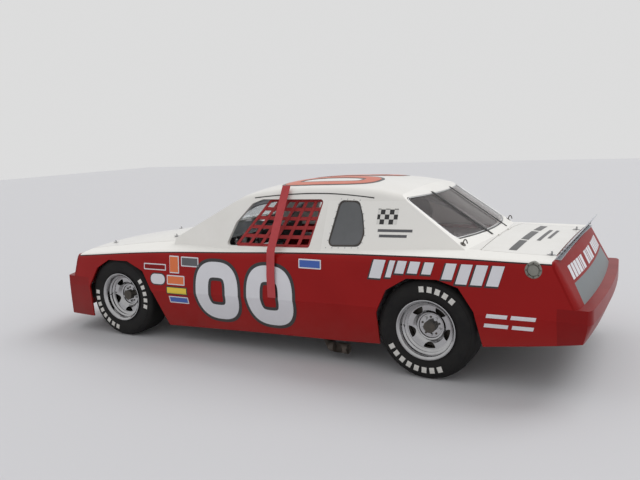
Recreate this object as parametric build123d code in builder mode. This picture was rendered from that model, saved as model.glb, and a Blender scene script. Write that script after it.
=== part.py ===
from build123d import *
import os
from math import acos, cos, radians, sin, sqrt, tan

os.makedirs("parts", exist_ok=True)

# A two-door stock car, in millimetres.
# X points forward, Y to the car's left and Z up. The origin is on the ground,
# under the middle of the overall length.

# Overall layout
WHEELBASE = 2794.0
FRONT_OVERHANG = 803.0
REAR_OVERHANG = 1083.0
LENGTH = FRONT_OVERHANG + WHEELBASE + REAR_OVERHANG
NOSE_X = LENGTH / 2
TAIL_X = -LENGTH / 2
FRONT_AXLE_X = NOSE_X - FRONT_OVERHANG
REAR_AXLE_X = FRONT_AXLE_X - WHEELBASE
SKIN = 14.0
GAP = 6.0

# Tyres and rims
TYRE_RADIUS = 347.0
TYRE_HALF_WIDTH = 131.0
TREAD_HALF_WIDTH = 104.0
TYRE_WALL = 14.0
WHEEL_CENTRE_Y = 745.0
HUB_Z = TYRE_RADIUS
RIM_RADIUS = 209.0
RIM_HALF_WIDTH = 132.0
BEAD_RADIUS = 191.0
STEP_RADIUS = 178.0
BARREL_RADIUS = 162.0
RIM_WALL = 7.0
DISC_FACE = 14.0
DISC_THICKNESS = 8.0
HUB_BORE_RADIUS = 42.0
LUG_COUNT = 5
LUG_CIRCLE_RADIUS = 63.5
LUG_RADIUS = 12.0
LUG_HEIGHT = 16.0
SLOT_COUNT = 5
SLOT_CIRCLE_RADIUS = 150.0
SLOT_RADIUS = 43.0
SLOT_OUTER_RADIUS = 149.0

# Bumper and lamp levels
FASCIA_TOP_Z = 505.0
COVER_TOP_Z = 575.0
NOSE_SET_BACK = 72.0
NOSE_RAKE = 18.7
NOSE_BOW = 190.0
NOSE_CORNER_RADIUS = 130.0
TAIL_SET_BACK = 74.0
TAIL_RAKE = 28.0
TAIL_BOW = 45.0
TAIL_CORNER_RADIUS = 113.0
TAIL_KNEE_Z = 485.0
TAIL_LOW_RAKE = 22.0
PLAN_HALF_WIDTH = 926.0
UPPER_BLOCK_HEIGHT = 1000.0
UPPER_BLOCK_DROP = 400.0

# Seams, as distances along X
FASCIA_REAR_X = FRONT_AXLE_X + 352
HOOD_REAR_X = 1046.0
COWL_REAR_X = 700.0
DOOR_FRONT_X = 950.0
DOOR_REAR_X = -400.0
COVER_FRONT_X = -2100.0
DECK_FRONT_X = -1574.0
DECK_REAR_X = -2060.0
HOOD_HALF_WIDTH = 650.0
DECK_HALF_WIDTH = 668.0
GRILLE_DEPTH = 26.0
GRILLE_TOP_Z = 700.0
GRILLE_SLOT_Z = 585.0
GRILLE_SLOT_PITCH = 36.0
GRILLE_SLOT_WIDTH = 560.0
GRILLE_SLOT_HEIGHT = 22.0
GRILLE_SLOT_CORNER = 10.0
INLET_Z = 300.0
INLET_HEIGHT = 90.0
INLET_CORNER = 20.0
INLET_WIDTH = 700.0
SIDE_INLET_Y = 600.0
SIDE_INLET_WIDTH = 180.0

# Greenhouse
BELT_Z = 848.0
WINDSHIELD_SLOPE = 27.0
WINDSHIELD_BASE_X = 985.0
WINDSHIELD_BASE_Z = 915.0
WINDSHIELD_BOW = 120.0
REAR_GLASS_SLOPE = 34.0
REAR_GLASS_BASE_X = -1535.0
REAR_GLASS_BASE_Z = 925.0
REAR_GLASS_BOW = 215.0
PILLAR_THICKNESS = 26.0
GLASS_THICKNESS = 8.0
GLASS_BLOCK_DEPTH = 2400.0
GLASS_SET_BACK = 6.0
WINDSHIELD_SILL_Z = 905.0
WINDSHIELD_TOP_Z = 1222.0
WINDSHIELD_SILL_Y = 672.0
WINDSHIELD_TOP_Y = 560.0
REAR_GLASS_SILL_Z = 934.0
REAR_GLASS_TOP_Z = 1212.0
REAR_GLASS_SILL_Y = 648.0
REAR_GLASS_TOP_Y = 596.0
APERTURE_RADIUS = 38.0
SHELL_BASE_Z = 800.0
SAIL_FRONT_X = -440.0
SAIL_TOP_Z = REAR_GLASS_TOP_Z - 22
TAIL_PANEL_DEPTH = 22.0

# Lid hinges: two sets of lugs on one pin line in each lid's seam
HINGE_Y = 150.0
HINGE_LUG_RADIUS = 7.0
HINGE_LUG_LENGTH = 18.0
HINGE_LUG_GAP = 1.0
HINGE_PIN_RADIUS = 3.5
HINGE_PIN_CLEARANCE = 0.3
HINGE_NOTCH = 2.0

# Fuel filler and spoiler
FILLER_X = -1958.0
FILLER_Z = 802.0
FILLER_Y = 874.0
FILLER_RADIUS = 52.0
FILLER_CAP_RADIUS = 32.0
SPOILER_HALF_WIDTH = 770.0
SPOILER_THICKNESS = 5.0
SPOILER_BASE_X = -2066.0
SPOILER_FLANGE = 38.0
SPOILER_BLADE = [
    (SPOILER_BASE_X, 835), (SPOILER_BASE_X, 856), (SPOILER_BASE_X - 72, 952),
    (SPOILER_BASE_X - 76, 949), (SPOILER_BASE_X - 5, 853), (SPOILER_BASE_X - 5, 835),
]

# Lower body sections, front to back. Columns: x, sill half width, sill height,
# crease half width, crease height, edge half width, edge height, crown height.
BODY_SECTIONS = [
    (NOSE_X + 20, 872, 152, 892, 415, 868, 648, 676),
    (1960, 884, 148, 905, 428, 876, 708, 762),
    (FRONT_AXLE_X, 882, 144, 920, 436, 888, 744, 826),
    (940, 822, 136, 904, 446, 880, 774, 908),
    (100, 818, 164, 900, 464, 880, 802, 925),
    (-700, 822, 186, 908, 480, 886, 832, 935),
    (REAR_AXLE_X, 852, 230, 920, 490, 888, 850, 930),
    (-1800, 862, 294, 906, 500, 876, 854, 882),
    (-2120, 852, 334, 896, 498, 870, 850, 866),
    (TAIL_X - 20, 838, 376, 886, 495, 862, 845, 851),
]
EDGE_RADIUS = 46.0
BELOW_SILL = 120.0

# Roof sections, front to back. Columns: x, drip half width, drip height, crown height.
ROOF_SECTIONS = [
    (1010, 640, 1010, 1040),
    (640, 628, 1122, 1164),
    (270, 616, 1232, 1276),
    (-300, 606, 1284, 1328),
    (-750, 604, 1270, 1311),
    (-1060, 606, 1212, 1262),
    (-1620, 620, 1040, 1090),
]
BELT_HALF_WIDTH = 806.0
DRIP_RADIUS = 42.0

# Wheel arch outlines as offsets along X from the axle and heights above ground,
# from the front foot over the top to the rear foot.
FRONT_ARCH = [(342, 60), (340, 430), (238, 598), (95, 677), (-125, 677), (-298, 602), (-402, 420), (-524, 60)]
REAR_ARCH = [
    (357, 60), (348, 440), (270, 610), (120, 700), (-90, 706), (-235, 662), (-340, 512), (-388, 260), (-410, 60),
]
ARCH_CORNER_RADIUS = 145.0

# Side windows in side view, as x and z, clockwise from the lower front corner.
DOOR_WINDOW = [(430, 838), (372, 1014), (245, 1160), (150, 1194), (-400, 1200), (-338, 853)]
QUARTER_WINDOW = [(-484, 870), (-530, 1196), (-690, 1192), (-735, 1092), (-768, 966), (-745, 878)]
WINDOW_CORNER_RADIUS = 26.0
QUARTER_CORNER_RADIUS = 44.0

# Chassis
FRAME_TUBE_WIDTH = 76.0
FRAME_TUBE_HEIGHT = 90.0
SIDE_RAIL_Y = 700.0
SIDE_RAIL_Z = 228.0
FRONT_RAIL_Y = 385.0
FRONT_RAIL_Z = 330.0
REAR_RAIL_Y = 470.0
REAR_RAIL_Z = 520.0
CAGE_RADIUS = 22.0
FLOOR_Z = 273.0
FLOOR_THICKNESS = 8.0
KINGPIN_Y = 655.0
STEERING_WHEEL_RADIUS = 185.0
STEERING_RIM_RADIUS = 14.0
STEERING_WHEEL_X = 235.0
STEERING_WHEEL_Z = 800.0
COLUMN_SLOPE = 14.0
COLUMN_RADIUS = 19.0
COLUMN_LENGTH = 640.0
SHEET = 6.0

# Straps and window net
STRAP_THICKNESS = 4.0
GLASS_STRAP_Y = 215.0
GLASS_STRAP_WIDTH = 24.0
STRAP_X = -60.0
STRAP_WIDTH = 72.0
STRAP_PROFILE = [
    (616, 1299), (889, 838), (897, 800), (910, 480), (906, 480), (893, 799), (885, 836), (612, 1295),
]
NET_OUTLINE = [(325, 848), (92, 1188), (-394, 1194), (-333, 856)]
NET_GRID_CENTRE = (-112, 1024)
NET_COLUMNS = 6
NET_ROWS = 5
NET_PITCH_X = 70.0
NET_PITCH_Z = 58.0
NET_RIBBON = 24.0
NET_THICKNESS = 5.0

# Frame corners along X: where the clips meet the side rails, and the frame's two ends
KICK_FRONT_X = DOOR_FRONT_X - 45
KICK_REAR_X = REAR_AXLE_X + 497
FRAME_NOSE_X = NOSE_X - 220
FRAME_TAIL_X = TAIL_X + 300
CLIP_LIFT = 20.0

# Frame runs on the left side, mirrored to the right. Columns: start and end as x, y, z.
FRAME_RUNS = [
    ((KICK_FRONT_X, SIDE_RAIL_Y, SIDE_RAIL_Z), (KICK_REAR_X, SIDE_RAIL_Y, SIDE_RAIL_Z)),
    ((KICK_FRONT_X, SIDE_RAIL_Y, SIDE_RAIL_Z), (KICK_FRONT_X + 185, FRONT_RAIL_Y, SIDE_RAIL_Z + CLIP_LIFT)),
    ((KICK_FRONT_X + 185, FRONT_RAIL_Y, SIDE_RAIL_Z + CLIP_LIFT), (FRONT_AXLE_X - 337, FRONT_RAIL_Y, FRONT_RAIL_Z)),
    ((FRONT_AXLE_X - 337, FRONT_RAIL_Y, FRONT_RAIL_Z), (FRAME_NOSE_X, FRONT_RAIL_Y, FRONT_RAIL_Z)),
    ((KICK_REAR_X, SIDE_RAIL_Y, SIDE_RAIL_Z), (KICK_REAR_X - 40, REAR_RAIL_Y, SIDE_RAIL_Z + CLIP_LIFT)),
    ((KICK_REAR_X - 40, REAR_RAIL_Y, SIDE_RAIL_Z + CLIP_LIFT), (REAR_AXLE_X + 237, REAR_RAIL_Y, REAR_RAIL_Z)),
    ((REAR_AXLE_X + 237, REAR_RAIL_Y, REAR_RAIL_Z), (FRAME_TAIL_X, REAR_RAIL_Y, REAR_RAIL_Z)),
]
# The front crossmember carries the engine and the lower suspension arms
FRONT_CROSSMEMBER_Z = 205.0
FRONT_CROSSMEMBER_HEIGHT = 60.0
FRONT_CROSSMEMBER_TOP_Z = FRONT_CROSSMEMBER_Z + FRONT_CROSSMEMBER_HEIGHT / 2
CROSSMEMBER_HALF_WIDTH = FRAME_TUBE_WIDTH / 2
END_CROSSMEMBER_HEIGHT = 80.0
CELL_CROSSMEMBER_X = REAR_AXLE_X - 263
# Columns: x, half width, half length, z, height.
CROSSMEMBERS = [
    (FRONT_AXLE_X, 170, FRONT_RAIL_Y + 30, FRONT_CROSSMEMBER_Z, FRONT_CROSSMEMBER_HEIGHT),
    (FRAME_NOSE_X, CROSSMEMBER_HALF_WIDTH, FRONT_RAIL_Y, FRONT_RAIL_Z, END_CROSSMEMBER_HEIGHT),
    (FRAME_TAIL_X, CROSSMEMBER_HALF_WIDTH, REAR_RAIL_Y, REAR_RAIL_Z, END_CROSSMEMBER_HEIGHT),
    (CELL_CROSSMEMBER_X, CROSSMEMBER_HALF_WIDTH, REAR_RAIL_Y, REAR_RAIL_Z, END_CROSSMEMBER_HEIGHT),
]
SPRING_SEAT_Z = 560.0
SPRING_SEAT_THICKNESS = 12.0
TOWER_PLATE_Y = FRONT_RAIL_Y + 20
TOWER_PLATE_THICKNESS = 18.0
# Pieces over the front axle. Columns: half width, y from, y to, z from, z to.
SPRING_TOWERS = [
    (60, FRONT_RAIL_Y - 38, FRONT_RAIL_Y + 30, FRONT_CROSSMEMBER_TOP_Z - 5, 300),
    (130, TOWER_PLATE_Y, TOWER_PLATE_Y + TOWER_PLATE_THICKNESS, 300, SPRING_SEAT_Z + SPRING_SEAT_THICKNESS),
    (60, TOWER_PLATE_Y, 545, SPRING_SEAT_Z, SPRING_SEAT_Z + SPRING_SEAT_THICKNESS),
]

# Tow plates lie flat under the end crossmembers and reach out past them
TOW_PLATE_LENGTH = 130.0
TOW_PLATE_WIDTH = 90.0
TOW_PLATE_THICKNESS = 12.0
TOW_PLATE_CORNER = 16.0
TOW_PLATE_REACH = 28.0
TOW_EYE_RADIUS = 20.0
TOW_EYE_REACH = CROSSMEMBER_HALF_WIDTH + 30
# Columns: crossmember x, outward direction, crossmember underside z.
TOW_PLATES = [
    (FRAME_NOSE_X, 1, FRONT_RAIL_Z - END_CROSSMEMBER_HEIGHT / 2),
    (FRAME_TAIL_X, -1, REAR_RAIL_Z - END_CROSSMEMBER_HEIGHT / 2),
]

# Floor and bulkheads
FLOOR_FRONT_X = DOOR_FRONT_X - 10
FLOOR_REAR_X = REAR_AXLE_X + 457
TUNNEL_RADIUS = 170.0
TUNNEL_Z = 300.0
FIREWALL_X = DOOR_FRONT_X - 2
SHELF_FRONT_X = FLOOR_REAR_X + 30
SHELF_REAR_X = REAR_AXLE_X - 213
SHELF_Z = 800.0
TUB_RADIUS = 396.0
TUB_INNER_Y = 590.0
TUB_OUTER_Y = 905.0
AXLE_SLOT_HEIGHT = 300.0
AXLE_SLOT_WIDTH = 130.0

# Cage tubes on the left side, mirrored to the right
HOOP_X = DOOR_REAR_X - 20
DASH_BAR_X = FIREWALL_X - 128
DASH_BAR_Z = 760.0
HALO_Z = 1195.0
HALO_Y = 545.0
CAGE_FOOT_Y = 672.0
DOOR_BAR_Y = 772.0
DOOR_BAR_FRONT_X = 200.0
DASH_LEG_RUN = 60.0
CAGE_RUNS = [
    [(HOOP_X, 680, FLOOR_Z), (HOOP_X, 700, 800), (HOOP_X, 560, 1190), (HOOP_X, 500, 1232), (HOOP_X, 0, 1240)],
    [
        (HOOP_X, HALO_Y, HALO_Z), (60, HALO_Y, HALO_Z), (270, 560, 1150), (640, 640, 960),
        (DASH_BAR_X, CAGE_FOOT_Y, DASH_BAR_Z), (DASH_BAR_X + DASH_LEG_RUN, CAGE_FOOT_Y, FLOOR_Z),
    ],
    [(270, 560, 1150), (270, 0, 1170)],
    [(HOOP_X, 520, 1215), (REAR_AXLE_X + 257, 520, 1030), (REAR_AXLE_X - 493, REAR_RAIL_Y, REAR_RAIL_Z + 40)],
    [(DASH_BAR_X, CAGE_FOOT_Y, DASH_BAR_Z), (DASH_BAR_X, 0, DASH_BAR_Z)],
    [(HOOP_X, 690, 640), (HOOP_X, 0, 640)],
]
DOOR_BAR_HEIGHTS = (420, 560, 700)

# Seat, dash
SEAT_Y = 385.0
SEAT_WIDTH = 400.0
SEAT_SHELL = 18.0
SEAT_BASE_Z = FLOOR_Z + FLOOR_THICKNESS
SEAT_PROFILE = [
    (150, SEAT_BASE_Z), (150, 440), (-60, 470), (-190, 560), (-260, 960), (-330, 990), (-400, 975),
    (-330, 620), (-280, SEAT_BASE_Z),
]
SEAT_HOLLOW = [
    (170, 400), (170, 600), (0, 700), (-200, 1100), (-310, 1100), (-265, 640), (-230, 405),
]
DASH_HALF_WIDTH = 610.0
DASH_PROFILE = [(800, 800), (560, 872), (536, 860), (560, 700), (580, 700), (585, 780), (800, 786)]

# Driveline
ENGINE_LENGTH = 560.0
ENGINE_WIDTH = 480.0
ENGINE_HEIGHT = 460.0
ENGINE_X = FRONT_AXLE_X - 167
SHAFT_Z = 325.0
GEARBOX_FRONT_X = ENGINE_X - ENGINE_LENGTH / 2
GEARBOX_REAR_X = 420.0
GEARBOX_FRONT_RADIUS = 150.0
GEARBOX_REAR_RADIUS = 70.0
DRIVESHAFT_RADIUS = 40.0
PINION_LENGTH = 260.0
RADIATOR_X = FRAME_NOSE_X - 120
RADIATOR_Z = 500.0
RADIATOR_DEPTH = 70.0
RADIATOR_WIDTH = 2 * FRONT_RAIL_Y - FRAME_TUBE_WIDTH
RADIATOR_HEIGHT = 300.0
EXHAUST_RADIUS = 38.0
EXHAUST_Z = 110.0
EXHAUST_Y = 300.0
EXHAUST_ROUTE = [
    (ENGINE_X - 120, ENGINE_WIDTH / 2, 310), (ENGINE_X - 190, EXHAUST_Y, 250), (ENGINE_X - 310, EXHAUST_Y, 150),
    (KICK_FRONT_X, EXHAUST_Y, EXHAUST_Z), (REAR_AXLE_X + 1107, EXHAUST_Y, EXHAUST_Z),
    (REAR_AXLE_X + 787, SIDE_RAIL_Y + 40, EXHAUST_Z - 10), (REAR_AXLE_X + 643, SIDE_RAIL_Y + 52, EXHAUST_Z - 10),
]
EXHAUST_WALL = 3.0
AXLE_TUBE_RADIUS = 42.0
AXLE_END_Y = 640.0
DIFFERENTIAL_RADIUS = 140.0
ARM_REAR_Y = 430.0
ARM_FRONT_X = 60.0
ARM_FRONT_Y = 190.0
ARM_FRONT_Z = 180.0
ARM_HEIGHT = 50.0
ARM_WIDTH = 50.0
SPRING_RADIUS = 52.0
SPRING_WALL = 16.0
LOWER_ARM_Z = 225.0
UPPER_ARM_Z = 470.0
# Columns: x, y, lower end, upper end.
SPRINGS = [
    (FRONT_AXLE_X, 482.0, LOWER_ARM_Z + 8, SPRING_SEAT_Z),
    (REAR_AXLE_X + 120, 430.0, 290.0, REAR_RAIL_Z - FRAME_TUBE_HEIGHT / 2),
]
FUEL_CELL_WIDTH = 800.0
FUEL_CELL_TOP_Z = REAR_RAIL_Z + 15
FUEL_CELL_HEIGHT = 230.0
FUEL_CELL_CORNER = 30.0

# Front suspension
KNUCKLE_LOW_Z = LOWER_ARM_Z + 23
KNUCKLE_HIGH_Z = UPPER_ARM_Z - 23
# Columns: z, inner y, half spread, ball stud from, ball stud to.
CONTROL_ARMS = [
    (LOWER_ARM_Z, FRONT_RAIL_Y + 27, 150, LOWER_ARM_Z, KNUCKLE_LOW_Z + 20),
    (UPPER_ARM_Z, TOWER_PLATE_Y + 17, 110, KNUCKLE_HIGH_Z - 22, UPPER_ARM_Z),
]
ARM_TUBE_RADIUS = 16.0
BALL_STUD_RADIUS = 10.0
KNUCKLE_RADIUS = 34.0
SPINDLE_RADIUS = 24.0
SPINDLE_BORE_RADIUS = 24.5
HUB_BACK = -38.0
HUB_CAP_HEIGHT = 46.0
BRAKE_DISC_RADIUS = 150.0
BRAKE_DISC_THICKNESS = 26.0
HUB_RADIUS = 78.0
DISC_BACK = DISC_FACE - DISC_THICKNESS
SPINDLE_END_Y = WHEEL_CENTRE_Y + DISC_BACK - 4
SPINDLE_BOSS_RADIUS = 48.0
SPINDLE_BOSS_END_Y = WHEEL_CENTRE_Y + HUB_BACK - 2


def plan_outline(tip_x, back_x, bow, corner_radius):
    """A flat outline whose leading edge is a shallow arc with rounded corners."""
    toward = 1 if tip_x > back_x else -1
    edge_x = tip_x - toward * bow
    with BuildSketch() as outline:
        with BuildLine():
            ThreePointArc((edge_x, -PLAN_HALF_WIDTH), (tip_x, 0), (edge_x, PLAN_HALF_WIDTH))
            Polyline(
                (edge_x, PLAN_HALF_WIDTH),
                (back_x, PLAN_HALF_WIDTH),
                (back_x, -PLAN_HALF_WIDTH),
                (edge_x, -PLAN_HALF_WIDTH),
            )
        make_face()
        corners = outline.vertices().sort_by(Axis.X)
        fillet(corners[2:] if toward > 0 else corners[:2], corner_radius)
    return outline.sketch


def raked_block(outline, base_z, height, lean_x):
    """The outline carried upwards along a line that leans by lean_x over the height."""
    face = Plane.XY.offset(base_z) * outline
    return Solid.extrude(face.face(), Vector(lean_x, 0, height))


def closed_section(x, side, crown_z, corner):
    """A closed section from one side's points, foot to edge, with a rounded crown."""
    below, edge = Vector(*side[-2]), Vector(*side[-1])
    sagitta = crown_z - edge.Y
    crown_radius = (edge.X**2 + sagitta**2) / (2 * sagitta)
    inner_y = edge.X - corner
    inner = Vector(inner_y, crown_z - crown_radius + sqrt(crown_radius**2 - inner_y**2))
    down = edge + (below - edge).normalized() * corner
    bisector = ((down - edge).normalized() + (inner - edge).normalized()).normalized()
    half_angle = acos((down - edge).normalized().dot(bisector))
    middle = edge + bisector * corner * (1 / cos(half_angle) - tan(half_angle))
    left = [*side[:-1], (down.X, down.Y)]
    right = [(-y, z) for y, z in reversed(left)]
    with BuildLine(Plane.YZ.offset(x)) as outline:
        for start, end in zip(left[:-1], left[1:]):
            Line(start, end)
        ThreePointArc((down.X, down.Y), (middle.X, middle.Y), (inner.X, inner.Y))
        ThreePointArc((inner.X, inner.Y), (0, crown_z), (-inner.X, inner.Y))
        ThreePointArc((-inner.X, inner.Y), (-middle.X, middle.Y), (-down.X, down.Y))
        for start, end in zip(right[:-1], right[1:]):
            Line(start, end)
        Line(right[-1], left[0])
    return Wire(outline.edges())


def body_section(section, inset):
    """One closed cross-section of the lower body, moved inwards by inset."""
    x, sill_y, sill_z, crease_y, crease_z, edge_y, edge_z, crown_z = section
    drop = BELOW_SILL if inset else 0
    lean = (crease_y - sill_y) / (crease_z - sill_z)
    foot = (sill_y - inset - drop * lean, sill_z - drop)
    side = [foot, (crease_y - inset, crease_z), (edge_y - inset, edge_z - inset)]
    return closed_section(x, side, crown_z - inset, EDGE_RADIUS - inset)


def lower_form(inset=0.0):
    """The lower body as a solid, without the rake of nose and tail."""
    return Solid.make_loft([body_section(s, inset) for s in BODY_SECTIONS])


def roof_section(section, inset):
    """One closed cross-section of the greenhouse, moved inwards by inset."""
    x, drip_y, drip_z, crown_z = section
    base_z = BELT_Z - BELOW_SILL
    flare = (BELT_HALF_WIDTH - 606) / (1284 - BELT_Z)
    base_y = drip_y + (drip_z - base_z) * flare
    side = [(base_y - inset, base_z), (drip_y - inset, drip_z - inset)]
    return closed_section(x, side, crown_z - inset, DRIP_RADIUS - inset / 2)


def glass_side(base_x, base_z, slope, bow, toward, inset):
    """Everything behind one bowed, sloping glass face. toward is 1 in front, -1 behind."""
    run = Vector(-toward * cos(radians(slope)), 0, sin(radians(slope)))
    inward = Vector(-toward * sin(radians(slope)), 0, -cos(radians(slope)))
    origin = Vector(base_x, 0, base_z) + inward * inset
    sagitta = bow * sin(radians(slope))
    with BuildPart() as block:
        with BuildSketch(Plane(origin=origin, x_dir=(0, toward, 0), z_dir=run)):
            with BuildLine():
                ThreePointArc((-PLAN_HALF_WIDTH, sagitta), (0, 0), (PLAN_HALF_WIDTH, sagitta))
                Polyline(
                    (PLAN_HALF_WIDTH, sagitta),
                    (PLAN_HALF_WIDTH, GLASS_BLOCK_DEPTH),
                    (-PLAN_HALF_WIDTH, GLASS_BLOCK_DEPTH),
                    (-PLAN_HALF_WIDTH, sagitta),
                )
            make_face()
        extrude(amount=GLASS_BLOCK_DEPTH, both=True)
    return block.part.solid()


def glass_block(inset):
    """The space between windshield and rear glass, their outer faces moved inwards."""
    front = glass_side(WINDSHIELD_BASE_X, WINDSHIELD_BASE_Z, WINDSHIELD_SLOPE, WINDSHIELD_BOW, 1, inset)
    rear = glass_side(REAR_GLASS_BASE_X, REAR_GLASS_BASE_Z, REAR_GLASS_SLOPE, REAR_GLASS_BOW, -1, inset)
    return front & rear


def greenhouse_form(inset=0.0):
    """The greenhouse as a solid, its outer faces moved inwards by inset."""
    roof = Solid.make_loft([roof_section(s, inset) for s in ROOF_SECTIONS])
    return roof & glass_block(inset)


def upper_block(inset=0.0):
    """Limits of the body above the bumpers: raked nose and raked tail."""
    height = UPPER_BLOCK_HEIGHT
    base_z = FASCIA_TOP_Z - UPPER_BLOCK_DROP
    nose_lean = -height * tan(radians(NOSE_RAKE))
    tail_lean = height * tan(radians(TAIL_RAKE))
    nose_tip = NOSE_X - NOSE_SET_BACK - inset + UPPER_BLOCK_DROP * tan(radians(NOSE_RAKE))
    tail_tip = TAIL_X + TAIL_SET_BACK + inset - (COVER_TOP_Z - base_z) * tan(radians(TAIL_RAKE))
    nose = plan_outline(nose_tip, TAIL_X - 900, NOSE_BOW, NOSE_CORNER_RADIUS - inset)
    tail = plan_outline(tail_tip, NOSE_X + 900, TAIL_BOW, TAIL_CORNER_RADIUS - inset)
    return raked_block(nose, base_z, height, nose_lean) & raked_block(tail, base_z, height, tail_lean)


def bumper_block(inset=0.0):
    """Limits of the body at bumper level: upright nose and tail."""
    nose = plan_outline(NOSE_X - inset, TAIL_X - 900, NOSE_BOW, NOSE_CORNER_RADIUS - inset)
    tail = plan_outline(TAIL_X + inset, NOSE_X + 900, TAIL_BOW, TAIL_CORNER_RADIUS - inset)
    low_slope = tan(radians(TAIL_LOW_RAKE))
    foot_x = TAIL_X + inset + TAIL_KNEE_Z * low_slope
    tail_foot = plan_outline(foot_x, NOSE_X + 900, TAIL_BOW, TAIL_CORNER_RADIUS - inset)
    height = COVER_TOP_Z + BELOW_SILL
    upright = raked_block(nose, 0, height, 0) & raked_block(tail, 0, height, 0)
    return upright & raked_block(tail_foot, 0, height, -height * low_slope)


def box(x_from, x_to, y_from, y_to, z_from, z_to):
    """A plain block between the given limits."""
    centre = ((x_from + x_to) / 2, (y_from + y_to) / 2, (z_from + z_to) / 2)
    block = Box(abs(x_to - x_from), abs(y_to - y_from), abs(z_to - z_from), mode=Mode.PRIVATE)
    return Pos(*centre) * block


def side_cutter(points, radius, y_from, y_to, rounded=None):
    """A side-view outline with rounded corners, carried across the car."""
    with BuildPart() as cutter:
        with BuildSketch(Plane.XZ.offset(-y_to)) as outline:
            with BuildLine():
                Polyline(*points, close=True)
            make_face()
            picked = outline.vertices()
            if rounded is not None:
                picked = [v for v in picked if v.Z > rounded]
            fillet(picked, radius)
        extrude(amount=y_to - y_from)
    return cutter.part


def arch_cutter(outline, axle_x):
    """The opening of a wheel arch, right across the car."""
    points = [(axle_x + x, z) for x, z in outline]
    return side_cutter(points, ARCH_CORNER_RADIUS, -1000, 1000, rounded=100)


def tube(points, radius):
    """A round tube along straight runs, with ball corners."""
    with BuildPart() as run:
        for start, end in zip(points[:-1], points[1:]):
            direction = Vector(*end) - Vector(*start)
            with BuildSketch(Plane(origin=start, z_dir=direction)):
                Circle(radius)
            extrude(amount=direction.length)
        for corner in points[1:-1]:
            with Locations(corner):
                Sphere(radius)
    return run.part


def seam_top(seam_x):
    """The height of the body's crown at a lid's seam."""
    return (outer_lower & box(seam_x, seam_x + GAP, -5, 5, 600, 1200)).bounding_box().max.Z


def hinge_rod(axis, y_from, y_to, radius):
    """A round piece along a lid's pin line."""
    with BuildPart() as rod:
        with BuildSketch(Plane.XZ.offset(-y_to)):
            with Locations(axis):
                Circle(radius)
        extrude(amount=y_to - y_from)
    return rod.part


def lid_side(hinges):
    """Cut a lid's notches and add its bored lugs, inside the lid's own builder."""
    _, moving, _, bores, _, lid_notches = hinges
    for notch in lid_notches:
        add(notch, mode=Mode.SUBTRACT)
    for lug in moving:
        add(lug)
    for bore in bores:
        add(bore, mode=Mode.SUBTRACT)


def fixed_side(hinges):
    """Cut a fixed panel's notches and add its lugs and pins, inside the panel's own builder."""
    fixed, _, pins, _, fixed_notches, _ = hinges
    for notch in fixed_notches:
        add(notch, mode=Mode.SUBTRACT)
    for piece in (*fixed, *pins):
        add(piece)


def hinge_sides(axis):
    """Hinge pieces of a lid's seam: fixed lugs, lid lugs, pins, bores, and the notches for each side."""
    fixed, moving, pins, bores, fixed_notches, lid_notches = [], [], [], [], [], []
    half = HINGE_LUG_LENGTH / 2
    reach = HINGE_LUG_RADIUS + HINGE_NOTCH
    low_z, high_z = axis[1] - 3 * SKIN, axis[1] + SKIN
    for middle in (-HINGE_Y, HINGE_Y):
        outer_from = half + HINGE_LUG_GAP
        outer_to = outer_from + HINGE_LUG_LENGTH
        moving.append(hinge_rod(axis, middle - half, middle + half, HINGE_LUG_RADIUS))
        pins.append(hinge_rod(axis, middle - outer_to, middle + outer_to, HINGE_PIN_RADIUS))
        bore_radius = HINGE_PIN_RADIUS + HINGE_PIN_CLEARANCE
        bores.append(hinge_rod(axis, middle - outer_to, middle + outer_to, bore_radius))
        fixed_notches.append(box(axis[0] - reach, axis[0] + reach, middle - outer_from, middle + outer_from, low_z, high_z))
        for side in (-1, 1):
            y_from, y_to = sorted((middle + side * outer_from, middle + side * outer_to))
            fixed.append(hinge_rod(axis, y_from, y_to, HINGE_LUG_RADIUS))
            notch_from, notch_to = sorted((middle + side * half, middle + side * (outer_to + HINGE_NOTCH)))
            lid_notches.append(box(axis[0] - reach, axis[0] + reach, notch_from, notch_to, low_z, high_z))
    return fixed, moving, pins, bores, fixed_notches, lid_notches


def mirrored(points):
    """The same points on the car's right side."""
    return [(x, -y, z) for x, y, z in points]


def save(piece, name):
    """Label a finished piece and write it."""
    piece.label = name
    export_step(piece, f"parts/{name}.step")


# Forms that several panels are cut from
outer_lower = lower_form()
inner_lower = lower_form(SKIN)
outer_upper_limits = upper_block()
inner_upper_limits = upper_block(SKIN / cos(radians(TAIL_RAKE)))
upper_skin = (outer_lower & outer_upper_limits) - (inner_lower & inner_upper_limits)
bumper_skin_outer = outer_lower & bumper_block()
bumper_skin_inner = inner_lower & bumper_block(SKIN)
greenhouse = greenhouse_form()
greenhouse_inside = greenhouse_form(PILLAR_THICKNESS)
front_arch = arch_cutter(FRONT_ARCH, FRONT_AXLE_X)
rear_arch = arch_cutter(REAR_ARCH, REAR_AXLE_X)

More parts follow.
